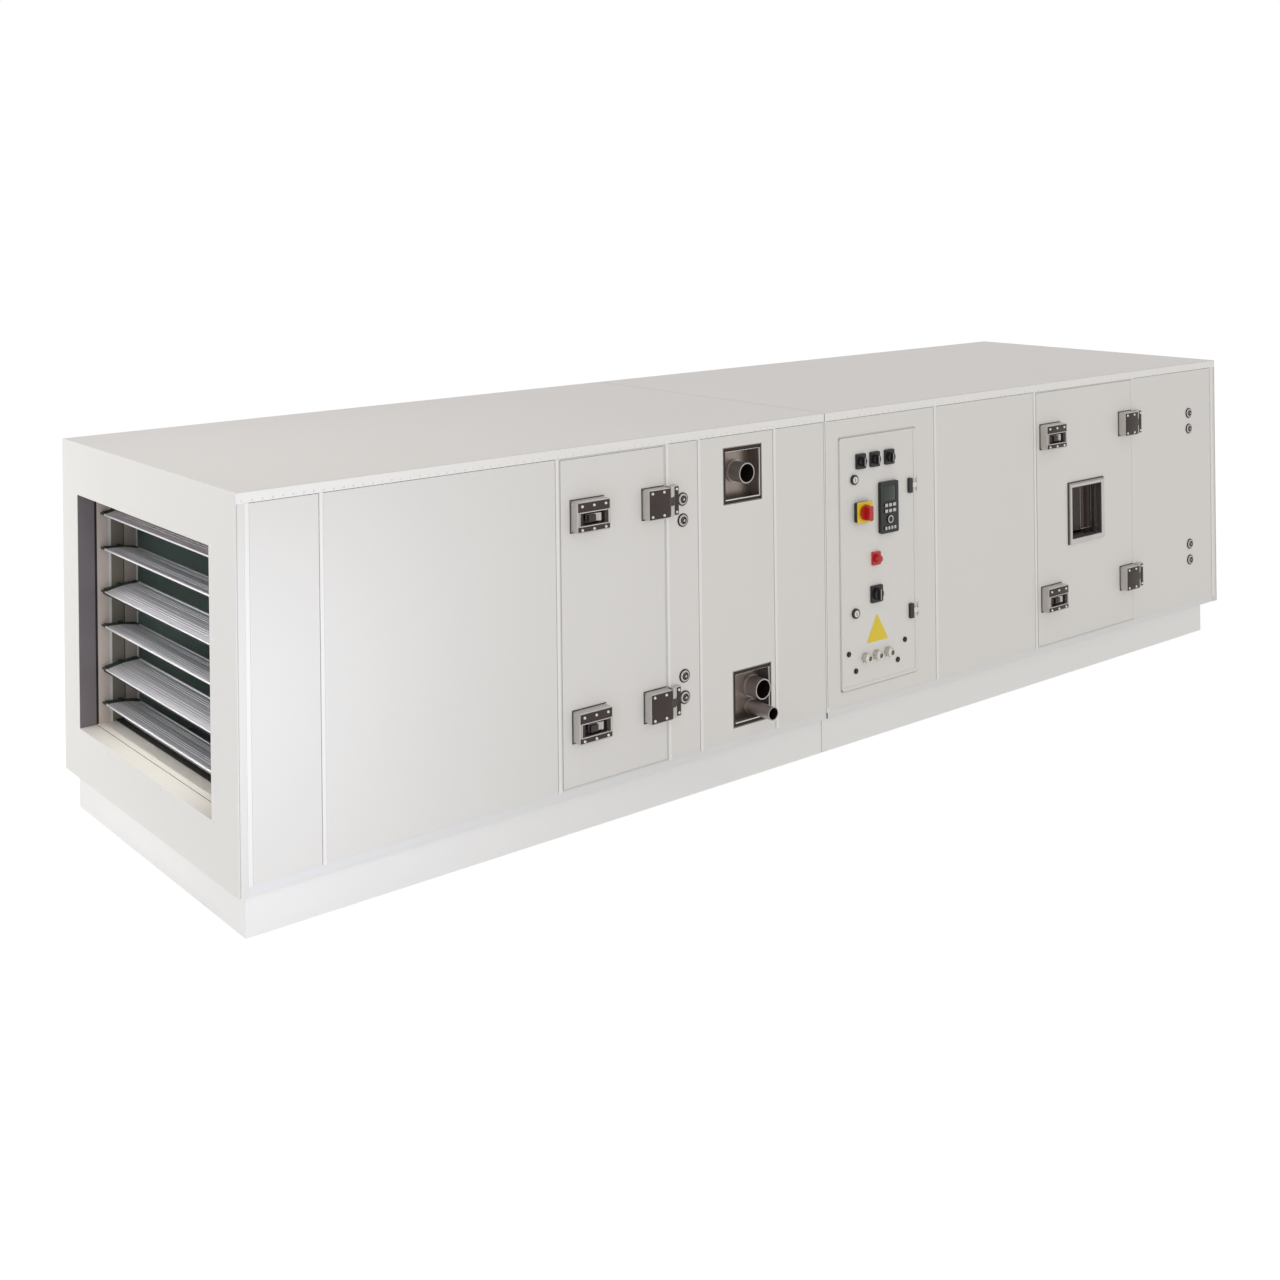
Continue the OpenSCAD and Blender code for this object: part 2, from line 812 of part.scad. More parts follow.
module drain_pipe() {
    color("gray") in_casing() stub(drain_pos, drain_r, drain_wall, drain_out);
}

module fan_bulkhead() {
    color("silver") in_casing() difference() {
        box([bulkhead_x, panel_t, panel_t],
            [bulkhead_x + bulkhead_t, casing_d - panel_t, core_top]);
        translate([bulkhead_x - 1, mid_y, mid_z]) rotate([0, 90, 0])
            cylinder(r = eye_r, h = bulkhead_t + 2);
    }
}

// Backward-curved fan wheel: a shroud ring, a back disc and the blades between
module fan_wheel() {
    disc = 5;
    hub_l = 40;
    color("slategray") in_casing() translate([wheel_x, mid_y, mid_z]) rotate([0, 90, 0]) {
        rotate_extrude() polygon([[eye_r - 12, -24], [eye_r - 8, -24], [eye_r + 4, 10],
            [wheel_r, 42], [wheel_r, 47], [eye_r, 15], [eye_r - 12, -18]]);
        translate([0, 0, wheel_w - disc]) cylinder(r = wheel_r, h = disc);
        translate([0, 0, wheel_w - hub_l]) cylinder(r = 45, h = hub_l);
        for (i = [0 : fan_blade_n - 1]) rotate([0, 0, i * 360 / fan_blade_n])
            translate([eye_r - 25, 0, 0]) rotate([0, 0, 48])
                translate([0, -2, 26]) cube([118, 4, wheel_w - 26]);
    }
}

// Motor with cooling ribs, on the axis of the wheel
module fan_motor() {
    rib_n = 24;
    rib_t = 4;
    shell_r = motor_r * 0.88;
    shield_l = motor_l * 0.06;
    cowl_l = motor_l * 0.15;
    rib_out = motor_r * 0.97;
    color("dimgray") in_casing() translate([motor_x, mid_y, mid_z]) rotate([0, 90, 0]) {
        cylinder(r = shell_r, h = motor_l);
        translate([0, 0, shield_l]) cylinder(r = motor_r, h = shield_l);
        translate([0, 0, motor_l - cowl_l]) cylinder(r = motor_r, h = cowl_l);
        for (i = [0 : rib_n - 1]) rotate([0, 0, i * 360 / rib_n])
            box([shell_r - rib_t, -rib_t / 2, shield_l * 1.5], [rib_out, rib_t / 2, motor_l - cowl_l / 2]);
    }
}

// Frame that carries the motor on the floor
module fan_frame() {
    foot_x0 = bulkhead_x + bulkhead_t;
    foot_x1 = motor_x + motor_l + fan_bar;
    half_w = motor_r + 2 * fan_bar;
    seat_z = mid_z - motor_r - pin_gap;
    seat_low = seat_z - fan_bar * 0.4;
    color("silver") in_casing() {
        for (y = [mid_y - half_w, mid_y + half_w - fan_bar]) {
            box([foot_x0, y, panel_t], [foot_x1, y + fan_bar, panel_t + fan_bar]);
            for (x = [motor_x + fan_bar, motor_x + motor_l - 2 * fan_bar])
                box([x, y, panel_t + fan_bar], [x + fan_bar, y + fan_bar, seat_low]);
        }
        box([motor_x + fan_bar / 2, mid_y - half_w, seat_low],
            [motor_x + motor_l, mid_y + half_w, seat_z]);
    }
}

// Measuring port: a flanged sleeve with a plug in it
module port(x, z) {
    facing(x, z) rotate_extrude()
        polygon([[0, 0], [16.5, 0], [16.5, 4], [14, 6], [10.5, 6], [10.5, 4], [8.5, 4], [8.5, 9],
            [0, 9]]);
}

port_x = 59;
last_port_x = 174;
port_rows = [upper_fit_z - 3, upper_fit_z - 66, lower_fit_z + 64, lower_fit_z];

module measuring_ports() {
    color("dimgray") in_casing()
        for (z = port_rows, x = [x_port + port_x, casing_l - last_port_x - 20]) port(x, z);
}

// Hinge block on a door, with the middle knuckle round the axis at x
module hinge_leaf(x, z) {
    low = z - fit_h / 2;
    difference() {
        union() {
            plate(x - hinge_block_gap - hinge_w, low, hinge_w, fit_h, fit_out, fit_r);
            box([x - hinge_block_gap - 4, -hinge_out - knuckle_r, z - knuckle_mid / 2],
                [x, -hinge_out + knuckle_r, z + knuckle_mid / 2]);
            translate([x, -hinge_out, z - knuckle_mid / 2])
                cylinder(r = knuckle_r, h = knuckle_mid);
        }
        translate([x, -hinge_out, low]) cylinder(r = hinge_pin_r + pin_gap, h = fit_h);
    }
}

// Fixed side of a hinge: a block over a strip, with two knuckles that hold the pin
module hinge_bracket(x, z, strip) {
    low = z - fit_h / 2;
    side = (fit_h - knuckle_mid) / 2 - knuckle_gap;
    left = x - half_strip;
    right = left + bracket_w;
    difference() {
        union() {
            box([left, -bracket_t, low], [right, 0, low + fit_h]);
            box([x + knuckle_r + door_gap, -hinge_out, low], [right, 0, low + fit_h]);
            for (at = [low, low + fit_h - side])
                box([left, -hinge_out, at], [right, -bracket_t, at + side]);
        }
        box([left - 1, -strip, low - 1], [x + half_line, 1, low + fit_h + 1]);
    }
    for (at = [low, low + fit_h - side])
        translate([x, -hinge_out, at]) cylinder(r = knuckle_r, h = side);
    translate([x, -hinge_out, low]) cylinder(r = hinge_pin_r, h = fit_h);
}

// Small hinge of the control door: fixed side
module control_bracket(z) {
    x = control_hinge_x;
    y = -control_hinge_y;
    for (at = [z - 22, z + 9]) {
        box([x, y, at], [x + 8, -3, at + 13]);
        translate([x, y, at]) cylinder(r = small_knuckle_r, h = 13);
    }
    box([x + 4, -3, z - 22], [x + 16, 0, z + 22]);
    translate([x, y, z - 22]) cylinder(r = small_pin_r, h = 44);
}

control_hinge_z = [control_z + 0.256 * control_h, control_z + 0.764 * control_h];

module hinge_brackets() {
    color("dimgray") in_casing() {
        for (z = [lower_fit_z, upper_fit_z]) {
            hinge_bracket(x_port, z, strip_out);
            hinge_bracket(x_fan_end, z, 0);
        }
        for (z = control_hinge_z) control_bracket(z);
    }
}

// Door between two mullions, standing clear of the frame all round
module door(x0, x1) {
    leaf_in = half_strip + door_gap;
    core_in = half_mullion + door_core_gap;
    box([x0 + leaf_in, 0, rail_h + door_gap], [x1 - leaf_in, leaf_t - door_gap, leaf_top - door_gap]);
    box([x0 + core_in, leaf_t - door_gap, panel_t + door_core_gap],
        [x1 - core_in, panel_t, leaf_top - top_rail_h - door_core_gap]);
}

module filter_door() {
    color("whitesmoke") in_casing() door(x_filter, x_port);
}

window_left = x_fan + window_x;

module fan_door() {
    color("whitesmoke") in_casing() difference() {
        door(x_fan, x_fan_end);
        box([window_left, -1, window_z], [window_left + window_w, panel_t + 1, window_z + window_h]);
    }
}

// Latch body with a pocket for the lever and the pin that carries it
module latch(x, z) {
    low = z - fit_h / 2;
    difference() {
        plate(x, low, latch_w, fit_h, fit_out, fit_r);
        plate(x + grip_side, low + grip_z, grip_w, grip_h, fit_out, 4, -grip_floor);
    }
    translate([x + lever_pivot_x, -lever_y, low + grip_z - 1])
        cylinder(r = lever_pin_r, h = grip_h + 2);
}

// Lever along the latch, with a thumb piece at its free end
module lever(x, z) {
    low = z - fit_h / 2 + lever_pivot_z - lever_h / 2;
    translate([x + lever_pivot_x, -lever_y, low]) difference() {
        union() {
            cylinder(r = lever_hub_r, h = lever_h);
            box([-lever_l, -lever_t / 2, 0], [0, lever_t / 2, lever_h]);
            box([-lever_l, -lever_t / 2 - 8, 2], [-lever_l + 14, 0, lever_h - 2]);
        }
        translate([0, 0, -1]) cylinder(r = lever_pin_r + pin_gap, h = lever_h + 2);
    }
}

module filter_door_latches() {
    color("dimgray") in_casing()
        for (z = [lower_fit_z, upper_fit_z]) latch(x_filter + filter_latch_x, z);
}

module filter_door_hinges() {
    color("dimgray") in_casing()
        for (z = [lower_fit_z, upper_fit_z]) hinge_leaf(x_port, z);
}

module filter_lever_upper() {
    color("black") in_casing() lever(x_filter + filter_latch_x, upper_fit_z);
}

module filter_lever_lower() {
    color("black") in_casing() lever(x_filter + filter_latch_x, lower_fit_z);
}

module fan_door_latches() {
    color("dimgray") in_casing()
        for (z = [lower_fit_z, upper_fit_z]) latch(x_fan + fan_latch_x, z);
}

module fan_door_hinges() {
    color("dimgray") in_casing()
        for (z = [lower_fit_z, upper_fit_z]) hinge_leaf(x_fan_end, z);
}

module fan_lever_upper() {
    color("black") in_casing() lever(x_fan + fan_latch_x, upper_fit_z);
}

module fan_lever_lower() {
    color("black") in_casing() lever(x_fan + fan_latch_x, lower_fit_z);
}

// Window frame: a rim in front of the door and a sleeve through it
module window_frame() {
    rim = window_frame_w;
    color("silver") in_casing() difference() {
        union() {
            plate(window_left - 4, window_z - 4, window_w + 8, window_h + 8, window_out, 4);
            box([window_left, 0, window_z], [window_left + window_w, panel_t, window_z + window_h]);
        }
        box([window_left + rim, -window_out - 1, window_z + rim],
            [window_left + window_w - rim, panel_t + 1, window_z + window_h - rim]);
    }
}

module window_pane() {
    rim = window_frame_w;
    color("darkslategray") in_casing()
        box([window_left + rim, panel_t - 10 - pane_t, window_z + rim],
            [window_left + window_w - rim, panel_t - 10, window_z + window_h - rim]);
}

// Control door: a flat tray with a rounded bead along its edge
module control_door() {
    left = control_left + door_gap;
    low = control_z + door_gap;
    color("whitesmoke") in_casing() {
        plate(left, low, control_door_w, control_door_h, control_t, control_r,
            control_t - control_out);
        facing(left, low, -control_out) linear_extrude(bead_out) difference() {
            rounded_rect(control_door_w, control_door_h, control_r);
            translate([bead_w, bead_w]) rounded_rect(control_door_w - 2 * bead_w,
                control_door_h - 2 * bead_w, bead_r);
        }
    }
}

// Hinge block on the control door, with an arm to the axis
module control_door_hinges() {
    x = control_hinge_x;
    y = -control_hinge_y;
    face = -control_out;
    block_w = 18;
    block_h = 50;
    block_x = x - 42;
    color("black") in_casing() for (z = control_hinge_z) difference() {
        union() {
            plate(block_x, z - block_h / 2, block_w, block_h, face - y + 2, 3, face);
            box([block_x + block_w - 4, y, z - 8], [x, face - bead_out, z + 8]);
            translate([x, y, z - 8]) cylinder(r = small_knuckle_r, h = 16);
        }
        translate([x, y, z - 30]) cylinder(r = small_pin_r + pin_gap, h = 60);
    }
}

// Fittings of the control door, placed by shares of its opening
function on_door(u, v) = [control_left + u * control_w, control_z + v * control_h];

switch_at = on_door(0.279, 0.695);

module main_switch_plate() {
    w = 72;
    h = 70;
    color("gold") in_casing() {
        plate(switch_at[0] - w / 2 + switch_plate_t, switch_at[1] - h / 2 + switch_plate_t,
            w - 2 * switch_plate_t, h - 2 * switch_plate_t, switch_base_t, 4, -control_out);
        plate(switch_at[0] - w / 2, switch_at[1] - h / 2, w, h, switch_plate_t, 4,
            switch_plate_t - switch_face);
        boss(switch_at[0], switch_at[1], spindle_r, switch_r - switch_gap, -switch_face);
    }
}

module main_switch_knob() {
    back = -switch_face - switch_gap;
    bar_w = 18;
    bar_t = switch_r;
    color("red") in_casing() difference() {
        union() {
            boss(switch_at[0], switch_at[1], switch_r, switch_r / 3, back);
            plate(switch_at[0] - bar_w / 2, switch_at[1] - switch_r + switch_gap, bar_w,
                2 * (switch_r - switch_gap), bar_t, 5, back);
        }
        boss(switch_at[0], switch_at[1], spindle_r + pin_gap, switch_r, back + switch_gap);
    }
}

// Operator panel: a sunk display, two rows of keys, a round pad and a last row
module operator_panel() {
    p = on_door(0.497, 0.593);
    face = -control_out - keypad_t;
    edge = 14;
    key_h = 12;
    key_out = 3;
    row = keypad_h / 9;
    inner_w = keypad_w - 2 * edge;
    color("black") in_casing() {
        difference() {
            plate(p[0], p[1], keypad_w, keypad_h, keypad_t, 6, -control_out);
            plate(p[0] + edge, p[1] + keypad_h * 0.62, inner_w, keypad_h * 0.3, key_out, 2, face + 2);
        }
        for (i = [0 : 2], j = [4, 5])
            plate(p[0] + edge + i * inner_w / 3 + 2, p[1] + (j - 0.4) * row, inner_w / 3 - 4, key_h,
                key_out, 2, face);
        boss(p[0] + keypad_w / 2, p[1] + 2.4 * row, row * 0.8, key_out, face);
        for (i = [0 : 3])
            plate(p[0] + edge + i * inner_w / 4 + 2, p[1] + 0.6 * row, inner_w / 4 - 4, key_h,
                key_out, 2, face);
    }
}

// Pilot lamp: a square base with a domed lens
module pilot_lamp() {
    p = on_door(0.452, 0.5);
    w = 38;
    h = 44;
    base_t = 8;
    lens_r = 14;
    lens_l = 8;
    color("red") in_casing() {
        plate(p[0] - w / 2, p[1] - h / 2, w, h, base_t, 4, -control_out);
        boss(p[0], p[1], lens_r, lens_l, -control_out - base_t);
        translate([p[0], -control_out - base_t - lens_l, p[1]]) sphere(r = lens_r);
    }
}

// Rotary switch: a square base, a round collar and a bar handle
module rotary(p, w, h, collar_r, bar) {
    base_t = 8;
    plate(p[0] - w / 2, p[1] - h / 2, w, h, base_t, 4, -control_out);
    boss(p[0], p[1], collar_r, 10, -control_out - base_t);
    plate(p[0] - bar / 2, p[1] - collar_r, bar, 2 * collar_r, 16, 3, -control_out - base_t);
}

module selector_switch() {
    color("black") in_casing() rotary(on_door(0.454, 0.359), 54, 56, 20, 12);
}

module cam_switches() {
    color("black") in_casing()
        for (u = [0.27, 0.447, 0.635]) rotary(on_door(u, 0.894), 44, 50, 16, 10);
}

// Quarter-turn locks with a key slot
module door_locks() {
    ring_r = 15;
    barrel_r = 11;
    ring_t = 5;
    barrel_t = 9;
    color("dimgray") in_casing()
        for (v = [0.3, 0.825]) let (p = on_door(0.188, v))
            facing(p[0], p[1], -control_out) difference() {
                union() {
                    cylinder(r = ring_r, h = ring_t);
                    cylinder(r = barrel_r, h = barrel_t);
                }
                translate([-2, -barrel_r / 2, ring_t]) cube([4, barrel_r, barrel_t]);
            }
}

// Cable glands: a hexagon, a neck, a dome nut and an open mouth
module cable_glands() {
    hex_r = 18;
    neck_r = 14;
    nut_r = 17;
    bore_r = 8;
    color("silver") in_casing()
        for (u = [0.306, 0.447, 0.594])
            let (p = on_door(u, 0.118)) facing(p[0], p[1], -control_out) difference() {
                union() {
                    cylinder(r = hex_r, h = 6, $fn = 6);
                    cylinder(r = neck_r, h = 10);
                    translate([0, 0, 10]) cylinder(r = nut_r, h = 9, $fn = 6);
                    translate([0, 0, 19]) cylinder(r1 = neck_r, r2 = bore_r + 2, h = 6);
                }
                translate([0, 0, 8]) cylinder(r = bore_r, h = 20);
            }
}

module blanking_plugs() {
    color("black") in_casing()
        for (p = [on_door(0.103, 0.146), on_door(0.823, 0.146), on_door(0.19, 0.073),
                on_door(0.727, 0.073)])
            facing(p[0], p[1], -control_out) {
                cylinder(r = 9, h = 3);
                cylinder(r = 6, h = 5);
            }
}

base_long_rails();
base_cross_rails();
corner_posts();
frame_rails();
mullions();
joint_gasket();
floor_panels();
roof_panels();
back_panels();
intake_end_panel();
discharge_end_panel();
discharge_flange();
front_panels();
coil_panel();
control_bay_panel();
control_box();
damper_frame();
damper_blade_1();
damper_blade_2();
damper_blade_3();
damper_blade_4();
damper_blade_5();
damper_blade_6();
filter_frame();
filter_media();
coil_block();
pipe_pockets();
coil_pipes();
drain_pipe();
fan_bulkhead();
fan_wheel();
fan_motor();
fan_frame();
measuring_ports();
hinge_brackets();
filter_door();
filter_door_latches();
filter_door_hinges();
filter_lever_upper();
filter_lever_lower();
fan_door();
fan_door_latches();
fan_door_hinges();
fan_lever_upper();
fan_lever_lower();
window_frame();
window_pane();
control_door();
control_door_hinges();
main_switch_plate();
main_switch_knob();
operator_panel();
pilot_lamp();
selector_switch();
cam_switches();
door_locks();
cable_glands();
blanking_plugs();
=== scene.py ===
"""Finishes and small fittings of an air handling unit, as an add-on that runs as a script."""
import math

import bmesh
import bpy
from bpy.props import FloatProperty, FloatVectorProperty, PointerProperty
from mathutils import Matrix, Vector


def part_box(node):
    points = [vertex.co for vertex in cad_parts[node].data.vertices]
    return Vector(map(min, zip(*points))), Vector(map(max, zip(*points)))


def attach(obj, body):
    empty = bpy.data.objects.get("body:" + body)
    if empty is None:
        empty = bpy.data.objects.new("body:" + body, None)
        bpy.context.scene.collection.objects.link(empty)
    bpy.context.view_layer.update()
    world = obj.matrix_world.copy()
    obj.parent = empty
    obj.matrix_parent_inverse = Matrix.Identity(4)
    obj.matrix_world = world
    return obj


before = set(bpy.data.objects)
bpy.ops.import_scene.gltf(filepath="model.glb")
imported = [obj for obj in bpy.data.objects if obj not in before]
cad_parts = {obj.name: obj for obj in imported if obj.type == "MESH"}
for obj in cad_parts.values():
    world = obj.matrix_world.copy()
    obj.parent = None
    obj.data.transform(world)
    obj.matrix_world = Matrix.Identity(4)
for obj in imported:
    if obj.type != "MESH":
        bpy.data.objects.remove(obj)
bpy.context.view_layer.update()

bl_info = {
    "name": "Air handling unit dressing",
    "version": (1, 0, 0),
    "blender": (4, 5, 0),
    "location": "3D View > Sidebar > Air unit",
    "description": "Finishes, screws, plates, seals and the stage of an air handling unit",
    "category": "Object",
}

MM = 0.001
MARGIN = Vector((1, 1, 1)) * MM  # A millimetre along every axis, to widen a patch past its solid
OUTWARD = Vector((0, -1, 0))  # The way the service face looks
DOORS = ("filter", "fan")

# Sizes that the solids have

PANEL_SKIN = 19 * MM
DAMPER_WALL = 25 * MM
POCKET_WIDTH, POCKET_HEIGHT, POCKET_WALL = 163 * MM, 176 * MM, 3 * MM
ROSETTE_RADIUS, PIPE_BORE, DRAIN_BORE = 36 * MM, 28.3 * MM, 18.3 * MM
LATCH_SIDE, LATCH_BOTTOM, LATCH_TOP = 19 * MM, 21 * MM, 57 * MM  # Edges of the lever's pocket
LEAF_LENGTH, KNUCKLE_RADIUS, BRACKET_DEPTH = 84 * MM, 7 * MM, 18 * MM
DOOR_GAP = 6 * MM
SUNK_FACE = 3 * MM  # How far the control door's fittings are set back from their rims


def linear(code):
    """The linear colour of an sRGB hex code."""
    channels = [int(code[i:i + 2], 16) / 255 for i in (1, 3, 5)]
    return tuple(c / 12.92 if c <= 0.04045 else ((c + 0.055) / 1.055) ** 2.4 for c in channels)


def per_mm(size):
    """The scale of a pattern whose cells are this many millimetres across."""
    return 1000 / size


# Sizes and colours that a user would change


class FinishSettings(bpy.types.PropertyGroup):
    """Colours of the unit's finishes."""

    casing: FloatVectorProperty(
        name="Casing", description="Powder coat of the panels, doors and posts",
        subtype="COLOR", min=0, max=1, default=linear("#EFEDEA"))
    # The roof's colour is darker than the casing's: painted shade on the roof's top
    roof: FloatVectorProperty(
        name="Roof", description="Coating of the roof sheets",
        subtype="COLOR", min=0, max=1, default=linear("#DDD9D6"))
    # The rails are lightened as painted light, against the shade under the panels' lower edges
    rail: FloatVectorProperty(
        name="Rails", description="Coating of the frame rails",
        subtype="COLOR", min=0, max=1, default=linear("#F0F0F1"))
    # The strips are lighter than the casing: painted highlight on their raised, rounded faces
    strip: FloatVectorProperty(
        name="Strips", description="Coating of the strips between the panels",
        subtype="COLOR", min=0, max=1, default=linear("#FBFAF8"))
    # The base is whiter than the casing: painted light, for how brightly the base is lit
    base: FloatVectorProperty(
        name="Base", description="Coating of the base channels",
        subtype="COLOR", min=0, max=1, default=linear("#FCFBFA"))
    inner_skin: FloatVectorProperty(
        name="Inner skin", description="Coating on the inner side of the panels",
        subtype="COLOR", min=0, max=1, default=linear("#94A89F"))
    door_skin: FloatVectorProperty(
        name="Door skin", description="Sheet on the inner side of the doors",
        subtype="COLOR", min=0, max=1, default=linear("#B4B6B6"))
    # The sill is a cream primer, lightened as painted light against the shade inside the intake
    sill: FloatVectorProperty(
        name="Sill", description="Primer on the sill of the intake opening",
        subtype="COLOR", min=0, max=1, default=linear("#FBF7EE"))
    reveal: FloatVectorProperty(
        name="Reveal", description="Bare sheet on the sides of the intake opening",
        subtype="COLOR", min=0, max=1, default=linear("#857E82"))
    damper: FloatVectorProperty(
        name="Damper frame", description="Coating of the damper frame",
        subtype="COLOR", min=0, max=1, default=linear("#E3D6CE"))
    face_plate: FloatVectorProperty(
        name="Face plate", description="Dark bronze plates of the latches and hinges",
        subtype="COLOR", min=0, max=1, default=linear("#453A37"))
    alarm_red: FloatVectorProperty(
        name="Red", description="Main switch knob and pilot lamp",
        subtype="COLOR", min=0, max=1, default=linear("#C4161C"))
    plate_yellow: FloatVectorProperty(
        name="Yellow", description="Main switch plate and plain door plate",
        subtype="COLOR", min=0, max=1, default=linear("#F4D81A"))


class FittingSettings(bpy.types.PropertyGroup):
    """Sizes of the small fittings."""

    rivet_pitch: FloatProperty(
        name="Rivet pitch", description="Spacing of the rivets along the roof edge",
        unit="LENGTH", min=0.01, default=28 * MM)
    rivet_radius: FloatProperty(
        name="Rivet radius", description="Radius of a rivet head",
        unit="LENGTH", min=0.001, default=3.2 * MM)
    screw_radius: FloatProperty(
        name="Screw radius", description="Radius of a screw head on a latch or hinge",
        unit="LENGTH", min=0.001, default=4.5 * MM)
    fitting_height: FloatProperty(
        name="Fitting height", description="Height of a latch or hinge",
        unit="LENGTH", min=0.01, default=90 * MM)
    inlet_bay: FloatProperty(
        name="First bay", description="Distance of the first strip from the intake end",
        unit="LENGTH", min=0.1, default=232 * MM)
    plate_thickness: FloatProperty(
        name="Plate thickness", description="Thickness of a face plate",
        unit="LENGTH", min=0.0005, default=1.6 * MM)


class StageSettings(bpy.types.PropertyGroup):
    """Camera and light of the studio."""

    camera_place: FloatVectorProperty(
        name="Camera place", description="Where the camera stands",
        subtype="TRANSLATION", unit="LENGTH", default=(-3.881, -4.236, 1.829))
    yaw: FloatProperty(
        name="Yaw", description="Turn of the camera from the depth axis to the length axis",
        subtype="ANGLE", default=math.radians(39.09))
    pitch: FloatProperty(
        name="Pitch", description="Rise of the camera above the horizon",
        subtype="ANGLE", default=math.radians(-0.05))
    roll: FloatProperty(
        name="Roll", description="Lean of the camera",
        subtype="ANGLE", default=math.radians(0.65))
    focal_length: FloatProperty(
        name="Focal length", description="Focal length on a 36 mm sensor",
        unit="CAMERA", default=45.35)
    shift: FloatProperty(
        name="Vertical shift", description="Share of the picture by which the lens is shifted",
        subtype="FACTOR", default=-0.3497)
    key_power: FloatProperty(
        name="Key light", description="Power of the soft light by the near corner",
        unit="POWER", min=0, default=2.35)
    end_power: FloatProperty(
        name="End light", description="Power of the soft light on the intake end",
        unit="POWER", min=0, default=9.1)
    fill_power: FloatProperty(
        name="Fill light", description="Power of the broad light on the service face",
        unit="POWER", min=0, default=25)
    roof_power: FloatProperty(
        name="Roof light", description="Power of the soft light over the intake end of the roof",
        unit="POWER", min=0, default=4.7)
    mouth_power: FloatProperty(
        name="Intake light", description="Power of the strip light in the top of the intake",
        unit="POWER", min=0, default=0.22)
    sky_strength: FloatProperty(
        name="Room light", description="Strength of the even light of the room",
        min=0, default=0.65)
    floor_size: FloatProperty(
        name="Floor size", description="Edge of the floor",
        unit="LENGTH", min=1, default=80)


def settings(group):
    """One of the unit's setting groups."""
    return getattr(bpy.context.scene, group)


# Places on the unit


def intake_mouth():
    """The low and high corners of the clear opening from the end face through the damper."""
    low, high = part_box("damper_frame")
    wall = Vector((0, DAMPER_WALL, DAMPER_WALL))
    low, high = low + wall, high - wall
    low.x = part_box("intake_end_panel")[0].x
    return low, high


def casing_box():
    """The low and high corners of the casing above its base."""
    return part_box("intake_end_panel")[0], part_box("discharge_end_panel")[1]


def service_face():
    """Where the front panels' outer side is along the depth."""
    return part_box("front_panels")[0].y


def pipe_pockets():
    """The low and high corners of the upper and the lower pipe pocket."""
    low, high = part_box("pipe_pockets")
    size = Vector((POCKET_WIDTH, high.y - low.y, POCKET_HEIGHT))
    for corner in (Vector((low.x, low.y, high.z - size.z)),
                   Vector((high.x - size.x, low.y, low.z))):
        yield corner, corner + size


def fitting_spans(node):
    """The low and high corners of the lower and the upper fitting in a node."""
    low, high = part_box(node)
    height = settings("unit_fittings").fitting_height
    for z in (low.z, high.z - height):
        yield Vector((low.x, low.y, z)), Vector((high.x, high.y, z + height))


# Materials


def add(tree, kind, inputs=None, **attributes):
    """Adds a node, sets its attributes, and sets or links its inputs."""
    new = tree.nodes.new(kind)
    for key, value in attributes.items():
        setattr(new, key, value)
    for key, value in (inputs or {}).items():
        if isinstance(value, bpy.types.NodeSocket):
            tree.links.new(value, new.inputs[key])
        else:
            new.inputs[key].default_value = value
    return new


def start(name):
    """The tree of an empty material, and its object coordinates."""
    material = bpy.data.materials.get(name) or bpy.data.materials.new(name)
    material.use_nodes = True
    tree = material.node_tree
    tree.nodes.clear()
    return tree, add(tree, "ShaderNodeTexCoord").outputs["Object"]


def close(tree, inputs):
    """Ends a material with a surface that takes these inputs."""
    surface = add(tree, "ShaderNodeBsdfPrincipled", inputs)
    add(tree, "ShaderNodeOutputMaterial", {"Surface": surface.outputs["BSDF"]},
        is_active_output=True)


def rgba(colour):
    """A colour with full alpha."""
    return (*colour[:3], 1)


def darker(colour, share):
    """A colour that keeps this share of its light."""
    return rgba([c * share for c in colour[:3]])


def clouded(tree, place, size, detail, colour, share):
    """Clouds of a size in millimetres, and a colour that they darken to a share of its light."""
    cloud = add(tree, "ShaderNodeTexNoise",
                {"Vector": place, "Scale": per_mm(size), "Detail": detail}).outputs["Fac"]
    tone = add(tree, "ShaderNodeMix", {"Factor": cloud, 6: darker(colour, share), 7: rgba(colour)},
               data_type="RGBA")
    return cloud, tone.outputs[2]


def between(tree, place, low, high):
    """1 for places between two corners, else 0."""
    offset = add(tree, "ShaderNodeVectorMath", {0: place, 1: (low + high) / 2},
                 operation="SUBTRACT")
    apart = add(tree, "ShaderNodeVectorMath", {0: offset.outputs[0]}, operation="ABSOLUTE")
    beyond = add(tree, "ShaderNodeVectorMath", {0: apart.outputs[0], 1: (high - low) / 2},
                 operation="SUBTRACT")
    axes = add(tree, "ShaderNodeSeparateXYZ", {"Vector": beyond.outputs[0]})
    across = add(tree, "ShaderNodeMath", {0: axes.outputs["X"], 1: axes.outputs["Y"]},
                 operation="MAXIMUM")
    most = add(tree, "ShaderNodeMath", {0: across.outputs[0], 1: axes.outputs["Z"]},
               operation="MAXIMUM")
    inside = add(tree, "ShaderNodeMath", {0: most.outputs[0], 1: 0.0}, operation="LESS_THAN")
    return inside.outputs[0]


def around(tree, place, centre, radius):
    """1 for places nearer than a radius to an axis along the depth, else 0."""
    offset = add(tree, "ShaderNodeVectorMath", {0: place, 1: centre}, operation="SUBTRACT")
    flat = add(tree, "ShaderNodeVectorMath", {0: offset.outputs[0], 1: (1, 0, 1)},
               operation="MULTIPLY")
    away = add(tree, "ShaderNodeVectorMath", {0: flat.outputs[0]}, operation="LENGTH")
    inside = add(tree, "ShaderNodeMath", {0: away.outputs["Value"], 1: radius},
                 operation="LESS_THAN")
    return inside.outputs[0]


